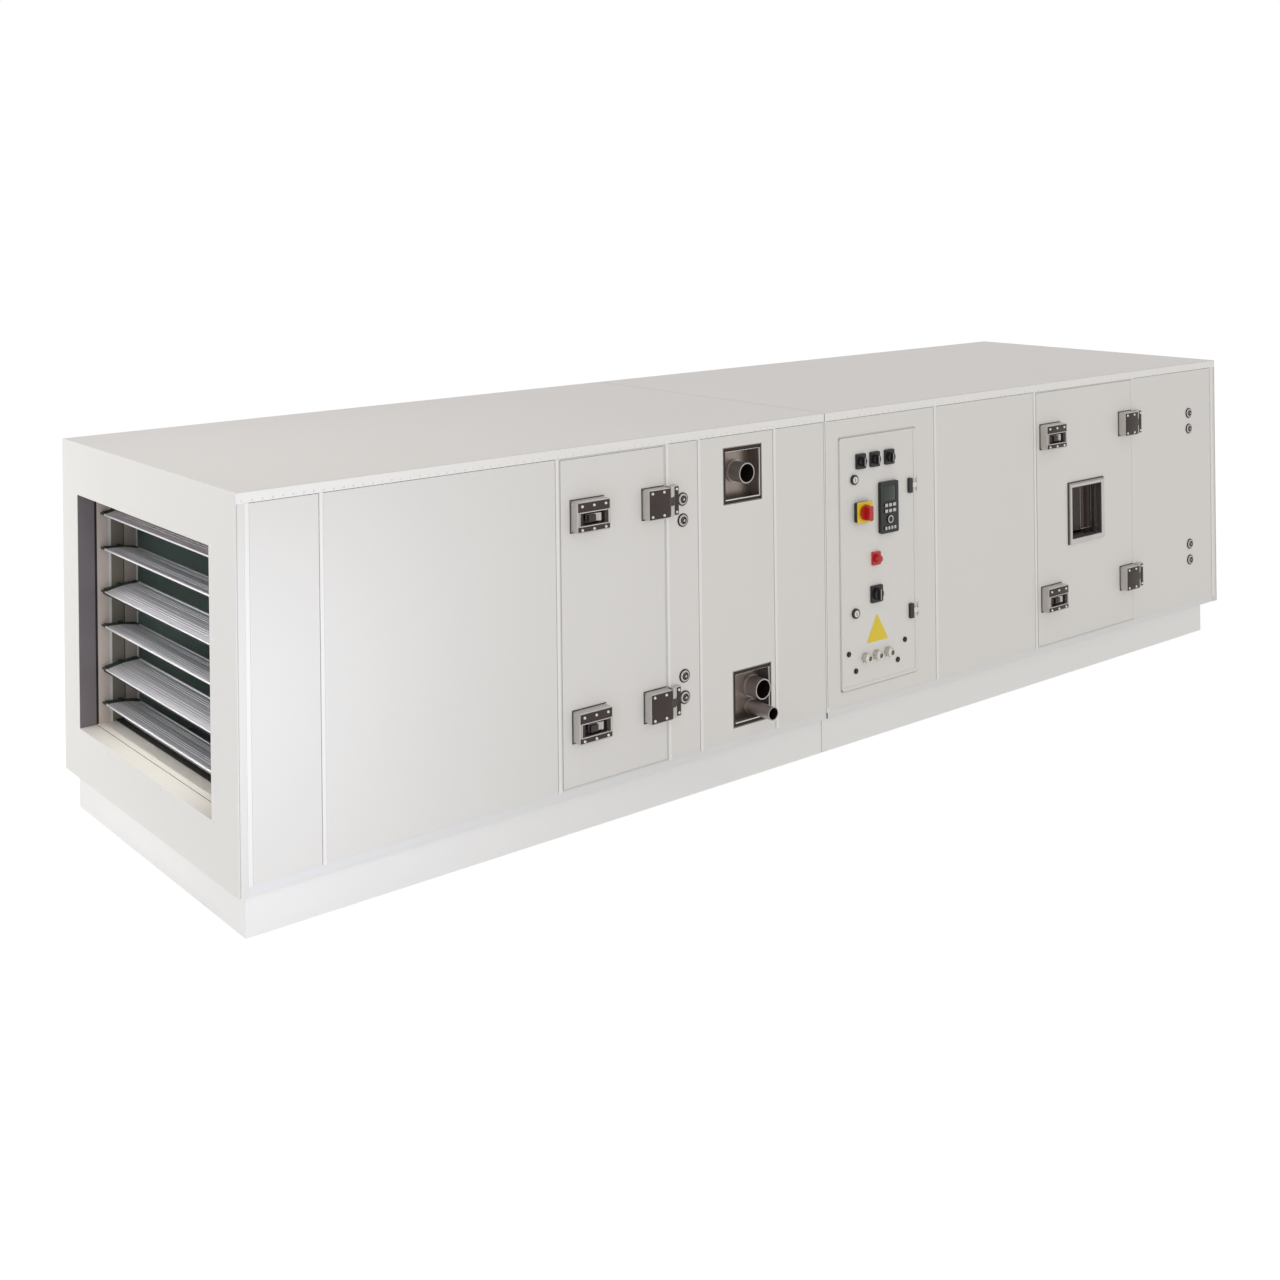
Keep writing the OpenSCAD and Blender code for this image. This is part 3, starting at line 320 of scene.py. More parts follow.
def paint(tree, place, coat, patches):
    """A coat with patches of other colours, and the masks of the patches. A patch lies between
    two corners, or round an axis with a radius."""
    masks = []
    for first, second, tone in patches:
        shape = around if isinstance(second, float) else between
        masks.append(shape(tree, place, first, second))
        coat = add(tree, "ShaderNodeMix", {"Factor": masks[-1], 6: coat, 7: rgba(tone)},
                   data_type="RGBA").outputs[2]
    return coat, masks


def powder_coat(name, colour, patches=()):
    """Baked powder coat on steel sheet: even, satin, with a faint orange-peel ripple and
    the slight cloudiness of large flat sheets; each patch has its own tone."""
    tree, place = start(name)
    cloud, coat = clouded(tree, place, 700, 3.0, colour, 0.965)
    # The ripple of the real coat is about 2 mm; 7 mm is as fine as shows in a picture of 4 m
    ripple = add(tree, "ShaderNodeTexNoise", {"Vector": place, "Scale": per_mm(7), "Detail": 2.0})
    sheen = add(tree, "ShaderNodeMapRange", {"Value": cloud, "To Min": 0.36, "To Max": 0.46})
    bump = add(tree, "ShaderNodeBump",
               {"Height": ripple.outputs["Fac"], "Strength": 0.05, "Distance": 0.4 * MM})
    close(tree, {"Base Color": paint(tree, place, coat, patches)[0],
                 "Roughness": sheen.outputs["Result"], "Normal": bump.outputs["Normal"]})


def galvanised_sheet(name, colour):
    """Hot-dip galvanised steel: grey with frosted spangles about 14 mm across."""
    tree, place = start(name)
    spangle = add(tree, "ShaderNodeTexVoronoi", {"Vector": place, "Scale": per_mm(14)})
    tone = add(tree, "ShaderNodeSeparateColor", {"Color": spangle.outputs["Color"]})
    frost = add(tree, "ShaderNodeMix",
                {"Factor": tone.outputs["Red"], 6: darker(colour, 0.82), 7: rgba(colour)},
                data_type="RGBA")
    rough = add(tree, "ShaderNodeMapRange",
                {"Value": tone.outputs["Green"], "To Min": 0.32, "To Max": 0.52})
    close(tree, {"Base Color": frost.outputs[2], "Metallic": 0.85,
                 "Roughness": rough.outputs["Result"]})


def brushed_metal(name, colour, roughness, stretch, metallic=1.0, patches=()):
    """Metal drawn or brushed one way: long fine streaks that shade and scatter the gloss;
    each patch is painted over in its own colour."""
    tree, place = start(name)
    along = add(tree, "ShaderNodeMapping", {"Vector": place, "Scale": stretch})
    streak = add(tree, "ShaderNodeTexNoise",
                 {"Vector": along.outputs["Vector"], "Scale": per_mm(4), "Detail": 4.0})
    rough = add(tree, "ShaderNodeMapRange", {"Value": streak.outputs["Fac"],
                "To Min": roughness - 0.08, "To Max": roughness + 0.10})
    bump = add(tree, "ShaderNodeBump",
               {"Height": streak.outputs["Fac"], "Strength": 0.12, "Distance": 0.2 * MM})
    _, bare = clouded(tree, place, 60, 3.0, colour, 0.78)
    bare, masks = paint(tree, place, bare, patches)
    gloss = metallic
    for mask in masks:
        gloss = add(tree, "ShaderNodeMapRange",
                    {"Value": mask, "To Min": gloss, "To Max": 0.0}).outputs["Result"]
    close(tree, {"Base Color": bare, "Metallic": gloss, "Roughness": rough.outputs["Result"],
                 "Normal": bump.outputs["Normal"]})


def moulded_plastic(name, colour, roughness, coat=0.0, patches=()):
    """Injection-moulded plastic: even colour under a fine spark-eroded grain; each patch
    is a second shot in its own colour."""
    tree, place = start(name)
    # The mould grain is about 0.3 mm; 1.5 mm is as fine as shows
    grain = add(tree, "ShaderNodeTexNoise", {"Vector": place, "Scale": per_mm(1.5), "Detail": 2.0})
    wear, shot = clouded(tree, place, 25, 2.0, colour, 0.9)
    rough = add(tree, "ShaderNodeMapRange",
                {"Value": wear, "To Min": roughness - 0.05, "To Max": roughness + 0.07})
    bump = add(tree, "ShaderNodeBump",
               {"Height": grain.outputs["Fac"], "Strength": 0.15, "Distance": 0.1 * MM})
    close(tree, {"Base Color": paint(tree, place, shot, patches)[0],
                 "Roughness": rough.outputs["Result"], "Normal": bump.outputs["Normal"],
                 "Coat Weight": coat, "Coat Roughness": 0.08})


def blade_aluminium(name):
    """Mill-finish extruded aluminium with die lines along the blade, and dark glass-filled
    nylon at both ends, where the end pieces are."""
    tree, place = start(name)
    low, high = intake_mouth()
    middle, half = (low.y + high.y) / 2, (high.y - low.y) / 2
    end_length = 34 * MM
    axes = add(tree, "ShaderNodeSeparateXYZ", {"Vector": place})
    from_middle = add(tree, "ShaderNodeMath", {0: axes.outputs["Y"], 1: middle},
                      operation="SUBTRACT")
    distance = add(tree, "ShaderNodeMath", {0: from_middle.outputs[0]}, operation="ABSOLUTE")
    end = add(tree, "ShaderNodeMath", {0: distance.outputs[0], 1: half - end_length},
              operation="GREATER_THAN").outputs[0]
    die = add(tree, "ShaderNodeMapping", {"Vector": place, "Scale": (1, 0.02, 1)})
    line = add(tree, "ShaderNodeTexNoise",
               {"Vector": die.outputs["Vector"], "Scale": per_mm(5), "Detail": 3.0})
    bright = add(tree, "ShaderNodeMix",
                 {"Factor": line.outputs["Fac"], 6: darker(linear("#EAE9EE"), 0.86),
                  7: rgba(linear("#F6F5F9"))}, data_type="RGBA")
    ended = add(tree, "ShaderNodeMix",
                {"Factor": end, 6: bright.outputs[2], 7: rgba(linear("#2F423D"))},
                data_type="RGBA")
    metal = add(tree, "ShaderNodeMapRange", {"Value": end, "To Min": 0.45, "To Max": 0.0})
    rough = add(tree, "ShaderNodeMapRange",
                {"Value": line.outputs["Fac"], "To Min": 0.30, "To Max": 0.46})
    close(tree, {"Base Color": ended.outputs[2], "Metallic": metal.outputs["Result"],
                 "Roughness": rough.outputs["Result"]})


def filter_cloth(name):
    """Pleated synthetic filter cloth: dull, greenish grey, fibrous."""
    tree, place = start(name)
    fibre = add(tree, "ShaderNodeTexNoise", {"Vector": place, "Scale": per_mm(3), "Detail": 6.0})
    dust = add(tree, "ShaderNodeTexNoise", {"Vector": place, "Scale": per_mm(120), "Detail": 3.0})
    grey = add(tree, "ShaderNodeMix",
               {"Factor": dust.outputs["Fac"], 6: rgba(linear("#7F8A85")),
                7: rgba(linear("#A9B3AD"))}, data_type="RGBA")
    bump = add(tree, "ShaderNodeBump",
               {"Height": fibre.outputs["Fac"], "Strength": 0.5, "Distance": 0.8 * MM})
    close(tree, {"Base Color": grey.outputs[2], "Roughness": 0.95,
                 "Normal": bump.outputs["Normal"]})


def clear_glass(name, colour):
    """Float glass: clear, with a smoke tint and a coating that takes most of the reflection."""
    tree, place = start(name)
    smear = add(tree, "ShaderNodeTexNoise", {"Vector": place, "Scale": per_mm(40), "Detail": 3.0})
    rough = add(tree, "ShaderNodeMapRange",
                {"Value": smear.outputs["Fac"], "To Min": 0.01, "To Max": 0.05})
    close(tree, {"Base Color": rgba(colour), "Transmission Weight": 1.0, "IOR": 1.25,
                 "Specular IOR Level": 0.06, "Roughness": rough.outputs["Result"]})


def cell_rubber(name, colour):
    """Closed-cell rubber: matt, dark or white, with a fine skin."""
    tree, place = start(name)
    skin, tone = clouded(tree, place, 2, 3.0, colour, 0.8)
    bump = add(tree, "ShaderNodeBump", {"Height": skin, "Strength": 0.3, "Distance": 0.2 * MM})
    close(tree, {"Base Color": tone, "Roughness": 0.8, "Normal": bump.outputs["Normal"]})


# Shapes


def block(bm, low, high, bevel=0.0, segments=2):
    """A box between two corners, with its edges rounded."""
    low, high = Vector(low), Vector(high)
    matrix = Matrix.Translation((low + high) / 2) @ Matrix.Diagonal((*(high - low), 1))
    verts = bmesh.ops.create_cube(bm, size=1, matrix=matrix)["verts"]
    if bevel:
        edges = {edge for vert in verts for edge in vert.link_edges}
        bmesh.ops.bevel(bm, geom=list(edges), offset=bevel, affect="EDGES",
                        segments=segments, profile=0.5, material=-1)


def bars(bm, spans, front, back, bevel, segments=2):
    """Upright bars between low and high corners of length and height."""
    for (x0, z0), (x1, z1) in spans:
        block(bm, (x0, front, z0), (x1, back, z1), bevel, segments)


def loop(bm, low, high, wide, front, back):
    """Four bars round an upright rectangle, inside it where the width is negative."""
    a0, a1 = sorted((low.x, low.x - wide))
    b0, b1 = sorted((high.x, high.x + wide))
    c0, c1 = sorted((low.z, low.z - wide))
    d0, d1 = sorted((high.z, high.z + wide))
    spans = (((a0, c0), (a1, d1)), ((b0, c0), (b1, d1)),
             ((a1, c0), (b0, c1)), ((a1, d0), (b0, d1)))
    bars(bm, spans, front, back, 0.4 * MM, 1)


def round_head(bm, centre, radius, height, direction, segments=12, crown=0.6):
    """A round head that stands on a face, narrower at its top."""
    turn = Vector((0, 0, 1)).rotation_difference(direction).to_matrix().to_4x4()
    matrix = Matrix.Translation(Vector(centre) + direction * height / 2) @ turn
    bmesh.ops.create_cone(bm, cap_ends=True, segments=segments, radius1=radius,
                          radius2=radius * crown, depth=height, matrix=matrix)


def ring(bm, centre, inner, outer, height, segments=20):
    """A flat ring that stands on the service face."""
    turn = Vector((0, 0, 1)).rotation_difference(OUTWARD).to_matrix().to_4x4()
    place = Matrix.Translation(centre) @ turn
    corners = [bm.verts.new(place @ Vector((r, 0, z)))
               for r, z in ((inner, 0), (outer, 0), (outer, height), (inner, height))]
    edges = [bm.edges.new((corners[i - 1], corners[i])) for i in range(4)]
    bmesh.ops.spin(bm, geom=[*corners, *edges], cent=centre, axis=OUTWARD, angle=math.tau,
                   steps=segments, use_merge=True)


def make_piece(bm, name, material, body):
    """Turns a bmesh into a piece that rides on a body."""
    bmesh.ops.recalc_face_normals(bm, faces=bm.faces)
    mesh = bpy.data.meshes.new(name)
    bm.to_mesh(mesh)
    bm.free()
    mesh.shade_smooth()
    mesh.set_sharp_from_angle(angle=math.radians(35))
    mesh.materials.append(bpy.data.materials[material])
    piece = bpy.data.objects.new(name, mesh)
    bpy.context.scene.collection.objects.link(piece)
    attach(piece, body)


# Operators

FINISHED_NODES = {
    "powder_coat_white": (
        "corner_posts", "back_panels", "discharge_end_panel", "front_panels", "coil_panel",
        "control_bay_panel"),
    "powder_coat_door": ("filter_door", "fan_door", "control_door"),
    "powder_coat_strip": ("mullions",),
    "powder_coat_base": ("base_long_rails", "base_cross_rails"),
    "powder_coat_rail": ("frame_rails",),
    "powder_coat_intake": ("intake_end_panel",),
    "powder_coat_roof": ("roof_panels",),
    "powder_coat_damper": ("damper_frame",),
    "powder_coat_motor": ("fan_motor",),
    "powder_coat_wheel": ("fan_wheel",),
    "galvanised_sheet": (
        "floor_panels", "discharge_flange", "control_box", "filter_frame", "coil_block",
        "fan_bulkhead", "fan_frame"),
    "stainless_sheet_pocket": ("pipe_pockets",),
    "steel_tube": ("coil_pipes", "drain_pipe"),
    "zinc_die_casting": (
        "filter_lever_upper", "filter_lever_lower", "fan_lever_upper", "fan_lever_lower"),
    "zinc_latch_casting": ("filter_door_latches", "fan_door_latches"),
    "zinc_leaf_casting": ("filter_door_hinges", "fan_door_hinges"),
    "zinc_hinge_casting": ("hinge_brackets",),
    "zinc_port_bright": ("measuring_ports",),
    "aluminium_window_frame": ("window_frame",),
    "nickel_plated_brass": ("door_locks", "cable_glands"),
    "abs_black": ("operator_panel", "selector_switch", "cam_switches", "blanking_plugs"),
    "abs_black_hinge": ("control_door_hinges",),
    "abs_red": ("main_switch_knob", "pilot_lamp"),
    "abs_yellow_on_black": ("main_switch_plate",),
    "aluminium_extruded_blade": tuple(f"damper_blade_{i}" for i in range(1, 7)),
    "polyester_filter_cloth": ("filter_media",),
    "float_glass": ("window_pane",),
    "rubber_black": ("joint_gasket",),
}


class UNIT_OT_finish(bpy.types.Operator):
    """Gives every solid of the unit its finish"""

    bl_idname = "unit.finish"
    bl_label = "Finish the solids"

    def execute(self, context):
        colours = settings("unit_finish")
        self.coats(colours)
        self.metals(colours)
        self.plastics(colours)
        # Cloth, dull and fibrous, and smoked glass, nearly black from outside
        filter_cloth("polyester_filter_cloth")
        clear_glass("float_glass", linear("#2E2521"))
        # Rubber, matt beside the satin coats: gaskets, door seals, and dark edges and strips that
        # paint the shade at fittings, ports and pipe pockets
        for name, code in (("black", "#1E1F1F"), ("white", "#E6E4E0"), ("grey", "#4E4845"),
                           ("brown", "#352E2B")):
            cell_rubber(f"rubber_{name}", linear(code))
        for material, nodes in FINISHED_NODES.items():
            for name in nodes:
                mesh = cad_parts[name].data
                mesh.materials.clear()
                mesh.materials.append(bpy.data.materials[material])
        return {"FINISHED"}

    def coats(self, colours):
        """Powder coats, satin and pale; the inner sides of the panels have a tone of their own."""
        low, high = casing_box()
        skin = Vector((1, 1, 1)) * PANEL_SKIN
        inside = (low + skin, high - skin, colours.inner_skin)
        inside_door = (*inside[:2], colours.door_skin)
        low, high = intake_mouth()
        edge, step = Vector((0, 0.5, 0.5)) * MM, Vector((1, 0, 0)) * MM
        reveal = (low - edge + step, high + edge, colours.reveal)
        # The sill's cream primer is lightened as painted light
        sill = (low - edge - step, Vector((high.x + MM, high.y, low.z + MM)), colours.sill)
        # The roof's folded front edge takes the strips' lighter colour: painted highlight
        low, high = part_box("roof_panels")
        roof_edge_highlight = (low - MARGIN, Vector((high.x + MM, low.y + 0.5 * MM, high.z - 1.5 * MM)),
                     colours.strip)
        low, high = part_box("fan_door")
        # The strip at the fan door's hinges hardly shows, because it is painted like the panels,
        # without the strips' painted highlight
        plain = (Vector((high.x - 5 * MM, low.y - 5 * MM, 0)),
                 Vector((high.x + 45 * MM, high.y, high.z + 100 * MM)), colours.casing)
        damper = [*self.painted_folds(), sill, *self.damper_joint()]
        for name, colour, patches in (
                ("white", colours.casing, [inside]), ("door", colours.casing, [inside_door]),
                ("roof", colours.roof, [inside, roof_edge_highlight]), ("rail", colours.rail, [inside]),
                ("strip", colours.strip, [inside, plain]), ("base", colours.base, ()),
                ("intake", colours.casing, [inside, reveal, sill]),
                ("damper", colours.damper, damper),
                ("motor", linear("#4A4E52"), ()), ("wheel", linear("#6C737B"), ())):
            powder_coat(f"powder_coat_{name}", colour, patches)

    def metals(self, colours):
        """Sheet, tube, castings and turned parts, from frosted grey to bright."""
        even, upright = (1, 1, 1), (1, 1, 0.05)
        length, depth = (0.05, 1, 1), (1, 0.05, 1)
        # Galvanised sheet: frosted spangles on the parts inside
        galvanised_sheet("galvanised_sheet", linear("#B9BBBD"))
        # Brushed stainless sheet: brownish grey, with soft upright streaks, and painted shade on
        # the pockets' right walls and bottoms
        brushed_metal("stainless_sheet_pocket", linear("#A2958D"), 0.34, upright, 0.85,
                      self.pocket_wall_shade())
        # Drawn steel tube: streaks along the axis, and painted shade in the bore
        brushed_metal("steel_tube", linear("#BDB4AF"), 0.38, depth, 0.7, self.bore_shade())
        # Die-cast zinc: dull silver without a grain, dark or painted in places
        for name, patches in (("die", ()), ("latch", self.latch_pockets()),
                              ("leaf", self.knuckles()), ("hinge", self.painted_arms())):
            brushed_metal(f"zinc_{name}_casting", linear("#D2CECA"), 0.42, even, 0.55, patches)
        # Turned zinc of the ports: brighter and smoother than a casting
        brushed_metal("zinc_port_bright", linear("#CFCAC5"), 0.36, even, 0.5)
        # Bronzed steel plates: dark brown with a dull gleam along the plate
        brushed_metal("bronze_face_plate", colours.face_plate, 0.46, length, 0.5)
        # Anodised aluminium section: pale, with painted shade on its left and top sides: grey bands
        # with dark outer edges
        brushed_metal("aluminium_window_frame", linear("#C9C6C2"), 0.34, upright, 1.0,
                      self.window_frame_shade())
        # Nickel-plated brass, zinc-plated screws and rolled bar: small bright glints to dull grey
        brushed_metal("nickel_plated_brass", linear("#DAD6CF"), 0.22, even)
        brushed_metal("zinc_plated_screw", linear("#E2E0DC"), 0.30, even)
        brushed_metal("steel_bar_grey", linear("#9A918C"), 0.40, even)
        # Extruded aluminium: pale blades with die lines and dark ends
        blade_aluminium("aluminium_extruded_blade")

    def plastics(self, colours):
        """Moulded housings, signal parts and keys."""
        black = linear("#1C1B1C")
        plate_height = 15.8 * MM
        low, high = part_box("main_switch_plate")
        base = (Vector((low.x, high.y - plate_height, low.z)) - MARGIN, high + MARGIN, black)
        # Housings and grips: nearly black, with a dull grain
        moulded_plastic("abs_black", black, 0.42)
        moulded_plastic("abs_brown", linear("#332A27"), 0.42)
        moulded_plastic("abs_black_hinge", black, 0.42, 0.0, self.painted_arms())
        # Signal parts: strong colour under a clear gloss
        moulded_plastic("abs_red", colours.alarm_red, 0.28, 0.3)
        moulded_plastic("abs_yellow", colours.plate_yellow, 0.32, 0.2)
        moulded_plastic("abs_yellow_on_black", colours.plate_yellow, 0.32, 0.2, [base])
        # Key caps: pale and matt; display: dark green and smooth
        moulded_plastic("abs_key_grey", linear("#D6D5D2"), 0.45)
        moulded_plastic("display_green", linear("#1A2B1C"), 0.22, 0.2)

    def painted_folds(self):
        """Painted light on the folded profile round the damper frame, by shares of its depth:
        painted highlight on the pale lips and painted shade in the channels between them."""
        low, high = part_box("damper_frame")
        depth = high.x - low.x
        for front, back, code in (
                (0.32, 0.38, "#F6F2EE"), (0.38, 0.66, "#8E877C"), (0.66, 0.68, "#4A4540"),
                (0.68, 0.96, "#B9AFA7"), (0.96, 1.01, "#F6F2EE")):
            yield (Vector((low.x + depth * front, low.y - MM, low.z - MM)),
                   Vector((low.x + depth * back, high.y + MM, high.z + MM)), linear(code))

    def damper_joint(self):
        """The dark line where the damper frame meets the end panel, thin on the sill."""
        low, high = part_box("damper_frame")
        low, high = low - MARGIN, high + MARGIN
        sill = intake_mouth()[0].z + 2 * MM
        for top, bottom, width in ((high.z, sill, 8 * MM), (sill, low.z, 3 * MM)):
            yield (Vector((low.x, low.y, bottom)), Vector((low.x + width, high.y, top)),
                   linear("#2A2527"))

    def window_frame_shade(self):
        """Painted shade on the window frame's left and top sides: grey bands with dark outer edges.
        """
        low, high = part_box("window_frame")
        for wide, code in ((7 * MM, "#A5A09C"), (0.5 * MM, "#57514E")):
            yield (low - MARGIN, Vector((low.x + wide, high.y, high.z)) + MARGIN, linear(code))
            yield (Vector((low.x, low.y, high.z - wide)) - MARGIN, high + MARGIN, linear(code))

    def pocket_wall_shade(self):
        """Painted shade on the pockets' right walls and bottoms, dark like the rubber strips of
        painted shadow at the pockets' left and top.
        """
        wall = POCKET_WALL + 0.5 * MM
        for low, high in pipe_pockets():
            front, back = low.y - MM, high.y - wall
            yield (Vector((high.x - wall, front, low.z)), Vector((high.x, back, high.z)),
                   linear("#6A625C"))
            yield (Vector((low.x, front, low.z)), Vector((high.x, back, low.z + wall)),
                   linear("#8A7F76"))

    def bore_shade(self):
        """Painted shade inside the two coil pipes and the drain pipe, within each pipe's bore
        radius.
        """
        dark, off = linear("#211B19"), ROSETTE_RADIUS
        low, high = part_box("coil_pipes")
        yield Vector((low.x + off, 0, high.z - off)), PIPE_BORE, dark
        yield Vector((high.x - off, 0, low.z + off)), PIPE_BORE, dark
        low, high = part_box("drain_pipe")
        yield (low + high) / 2, DRAIN_BORE, dark

    def latch_pockets(self):
        """The dark insides of the latches' pockets."""
        edge = 0.5 * MM
        for door in DOORS:
            for low, high in fitting_spans(f"{door}_door_latches"):
                side = LATCH_SIDE - edge
                yield (Vector((low.x + side, low.y + MM, low.z + LATCH_BOTTOM - edge)),
                       Vector((high.x - side, high.y, low.z + LATCH_TOP + edge)),
                       linear("#4A403B"))

    def knuckles(self):
        """The dark knuckles of the filter and fan doors' hinges."""
        for door in DOORS:
            low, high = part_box(f"{door}_door_hinges")
            yield (Vector((low.x + LEAF_LENGTH, low.y, low.z)) - MARGIN, high + MARGIN,
                   settings("unit_finish").face_plate)

    def painted_arms(self):
        """The arms and brackets of the control door's hinges, painted like the door."""
        low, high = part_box("control_door_hinges")
        arm, margin = 18.5 * MM, 50 * MM
        yield (Vector((low.x + arm, low.y - margin, low.z - margin)),
               high + Vector((1, 1, 1)) * margin, settings("unit_finish").casing)


class UNIT_OT_roof_rivets(bpy.types.Operator):
    """Sets rows of rivets along the folded edge of the roof"""

    bl_idname = "unit.roof_rivets"
    bl_label = "Roof rivets"

    def execute(self, context):
        sizes = settings("unit_fittings")
        low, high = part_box("roof_panels")
        z = high.z - 22 * MM
        head = 1.4 * MM
        count = int((high.x - low.x) / sizes.rivet_pitch)
        step = (high.x - low.x) / count
        bm = bmesh.new()
        for i in range(count):
            for y, outward in ((low.y, OUTWARD), (high.y, -OUTWARD)):
                round_head(bm, (low.x + step * (i + 0.5), y, z), sizes.rivet_radius, head,
                           outward, segments=8, crown=0.55)
        make_piece(bm, "roof_rivets", "zinc_plated_screw", "casing")
        return {"FINISHED"}


class UNIT_OT_strip_caps(bpy.types.Operator):
    """Closes the lower ends of the strips with rounded caps"""

    bl_idname = "unit.strip_caps"
    bl_label = "Strip caps"

    def execute(self, context):
        front, back = service_face() - 3.5 * MM, service_face() - 0.2 * MM
        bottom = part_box("mullions")[0].z
        half, below, above = 6 * MM, 2 * MM, 12 * MM
        bm = bmesh.new()
        for x in self.seams():
            block(bm, (x - half, front, bottom - below), (x + half, back, bottom + above), 1.6 * MM)
        make_piece(bm, "strip_caps", "powder_coat_strip", "casing")
        return {"FINISHED"}

    def seams(self):
        """The middles of the strips on the service face."""
        half = 6.5 * MM
        beside_door = half + DOOR_GAP
        filter_door, fan_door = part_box("filter_door"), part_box("fan_door")
        coil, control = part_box("coil_panel"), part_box("control_bay_panel")
        return (casing_box()[0].x + settings("unit_fittings").inlet_bay,
                filter_door[0].x - beside_door, filter_door[1].x + beside_door,
                coil[0].x - half, coil[1].x + half, control[0].x - half, control[1].x + half,
                fan_door[0].x - beside_door)


class UNIT_OT_latch_faces(bpy.types.Operator):
    """Covers the latches and hinges with dark face plates and screws, and edges them with painted
    contact shadow
    """

    bl_idname = "unit.latch_faces"
    bl_label = "Latch and hinge faces"

    def execute(self, context):
        bracket_face = service_face() - BRACKET_DEPTH
        bracket = (11 * MM, 31 * MM)  # From the hinge's axis
        leaf_columns, bracket_columns = (14 * MM, 58 * MM), (10.5 * MM,)
        for door in DOORS:
            plates, rims, screws, shadow_seats = (bmesh.new() for _ in range(4))
            fixed, fixed_screws = bmesh.new(), bmesh.new()
            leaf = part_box(f"{door}_door")[0].y
            for low, high in fitting_spans(f"{door}_door_latches"):
                self.latch(plates, rims, screws, low, high)
                self.shadow_seat(shadow_seats, low, high, leaf)
            for low, high in fitting_spans(f"{door}_door_hinges"):
                end = Vector((low.x + LEAF_LENGTH, high.y, high.z))
                self.hinge(plates, screws, low, end, leaf_columns)
                self.shadow_seat(shadow_seats, low, end, leaf)
                axis = high.x - KNUCKLE_RADIUS
                self.hinge(fixed, fixed_screws, Vector((axis + bracket[0], bracket_face, low.z)),
                           Vector((axis + bracket[1], bracket_face, high.z)), bracket_columns)
            make_piece(fixed, f"{door}_bracket_plates", "bronze_face_plate", "casing")
            make_piece(fixed_screws, f"{door}_bracket_screws", "zinc_plated_screw", "casing")
            for bm, name, material in ((plates, "face_plates", "bronze_face_plate"),
                                       (rims, "latch_rims", "zinc_die_casting"),
                                       (screws, "fitting_screws", "zinc_plated_screw"),
                                       (shadow_seats, "fitting_shadow_seats", "rubber_grey")):
                make_piece(bm, f"{door}_door_{name}", material, f"{door}_door")
        return {"FINISHED"}

    def latch(self, plates, rims, screws, low, high):
        """Two dark bands with screws, above and below the pocket, and a rim round it."""
        face = low.y
        front = face - settings("unit_fittings").plate_thickness
        x0, x1 = low.x + LATCH_SIDE, high.x - LATCH_SIDE
        z0, z1 = low.z + LATCH_BOTTOM, low.z + LATCH_TOP
        rim, edge, side = 3 * MM, 4 * MM, 10 * MM
        band0, band1 = low.x + edge, high.x - edge
        rim0, rim1 = low.x + side, high.x - side
        bars(plates, (((band0, z1 + rim), (band1, high.z - edge)),
                      ((band0, low.z + edge), (band1, z0 - rim))), front, face, 0.8 * MM)
        bars(plates, (((rim0, z0), (x0, z1)), ((x1, z0), (rim1, z1))), front, face, 0.4 * MM)
        bars(rims, (((rim0 - rim, z1), (rim1 + rim, z1 + rim)),
                    ((rim0 - rim, z0 - rim), (rim1 + rim, z0)),
                    ((rim0 - rim, z0), (rim0, z1)), ((rim1, z0), (rim1 + rim, z1))),
             front - 1 * MM, face, 0.7 * MM)
        end, down, up = 18 * MM, 14 * MM, 9.5 * MM
        for x in (low.x + end, (low.x + high.x) / 2, high.x - end):
            for z in (high.z - down, low.z + up):
                self.screw(screws, (x, front, z))

    def shadow_seat(self, bm, low, high, leaf):
        """The edge of a dark sheet under a fitting, at its left, top and bottom: painted contact
        shadow round the fitting.
        """
        wide, thick = 2.5 * MM, 2.5 * MM
        spans = (((low.x - wide, low.z - wide), (low.x, high.z + wide)),
                 ((low.x, high.z), (high.x, high.z + wide)),
                 ((low.x, low.z - wide), (high.x, low.z)))
        bars(bm, spans, leaf - thick, leaf, 0.6 * MM)

    def hinge(self, plates, screws, low, high, columns):
        """One dark plate with columns of two screws."""
        face = low.y
        front = face - settings("unit_fittings").plate_thickness
        edge, right, off = 3 * MM, 2 * MM, 11 * MM
        block(plates, (low.x + edge, front, low.z + edge), (high.x - right, face, high.z - edge),
              1 * MM)
        for x in columns:
            for z in (low.z + off, high.z - off):
                self.screw(screws, (low.x + x, front, z))

    def screw(self, bm, at):
        """A round screw head."""
        round_head(bm, at, settings("unit_fittings").screw_radius, 2.2 * MM, OUTWARD, 14, 0.7)


class UNIT_OT_lever_grips(bpy.types.Operator):
    """Puts a dark grip on the free end of each latch lever"""

    bl_idname = "unit.lever_grips"
    bl_label = "Lever grips"

    def execute(self, context):
        length, depth, edge = 26 * MM, 8.5 * MM, 1 * MM
        for door in DOORS:
            for row in ("lower", "upper"):
                name = f"{door}_lever_{row}"
                low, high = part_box(name)
                bm = bmesh.new()
                block(bm, (low.x - edge, low.y - edge, low.z + edge),
                      (low.x + length, low.y + depth, high.z - edge), 1.5 * MM)
                make_piece(bm, f"{name}_grip", "abs_brown", name)
        return {"FINISHED"}


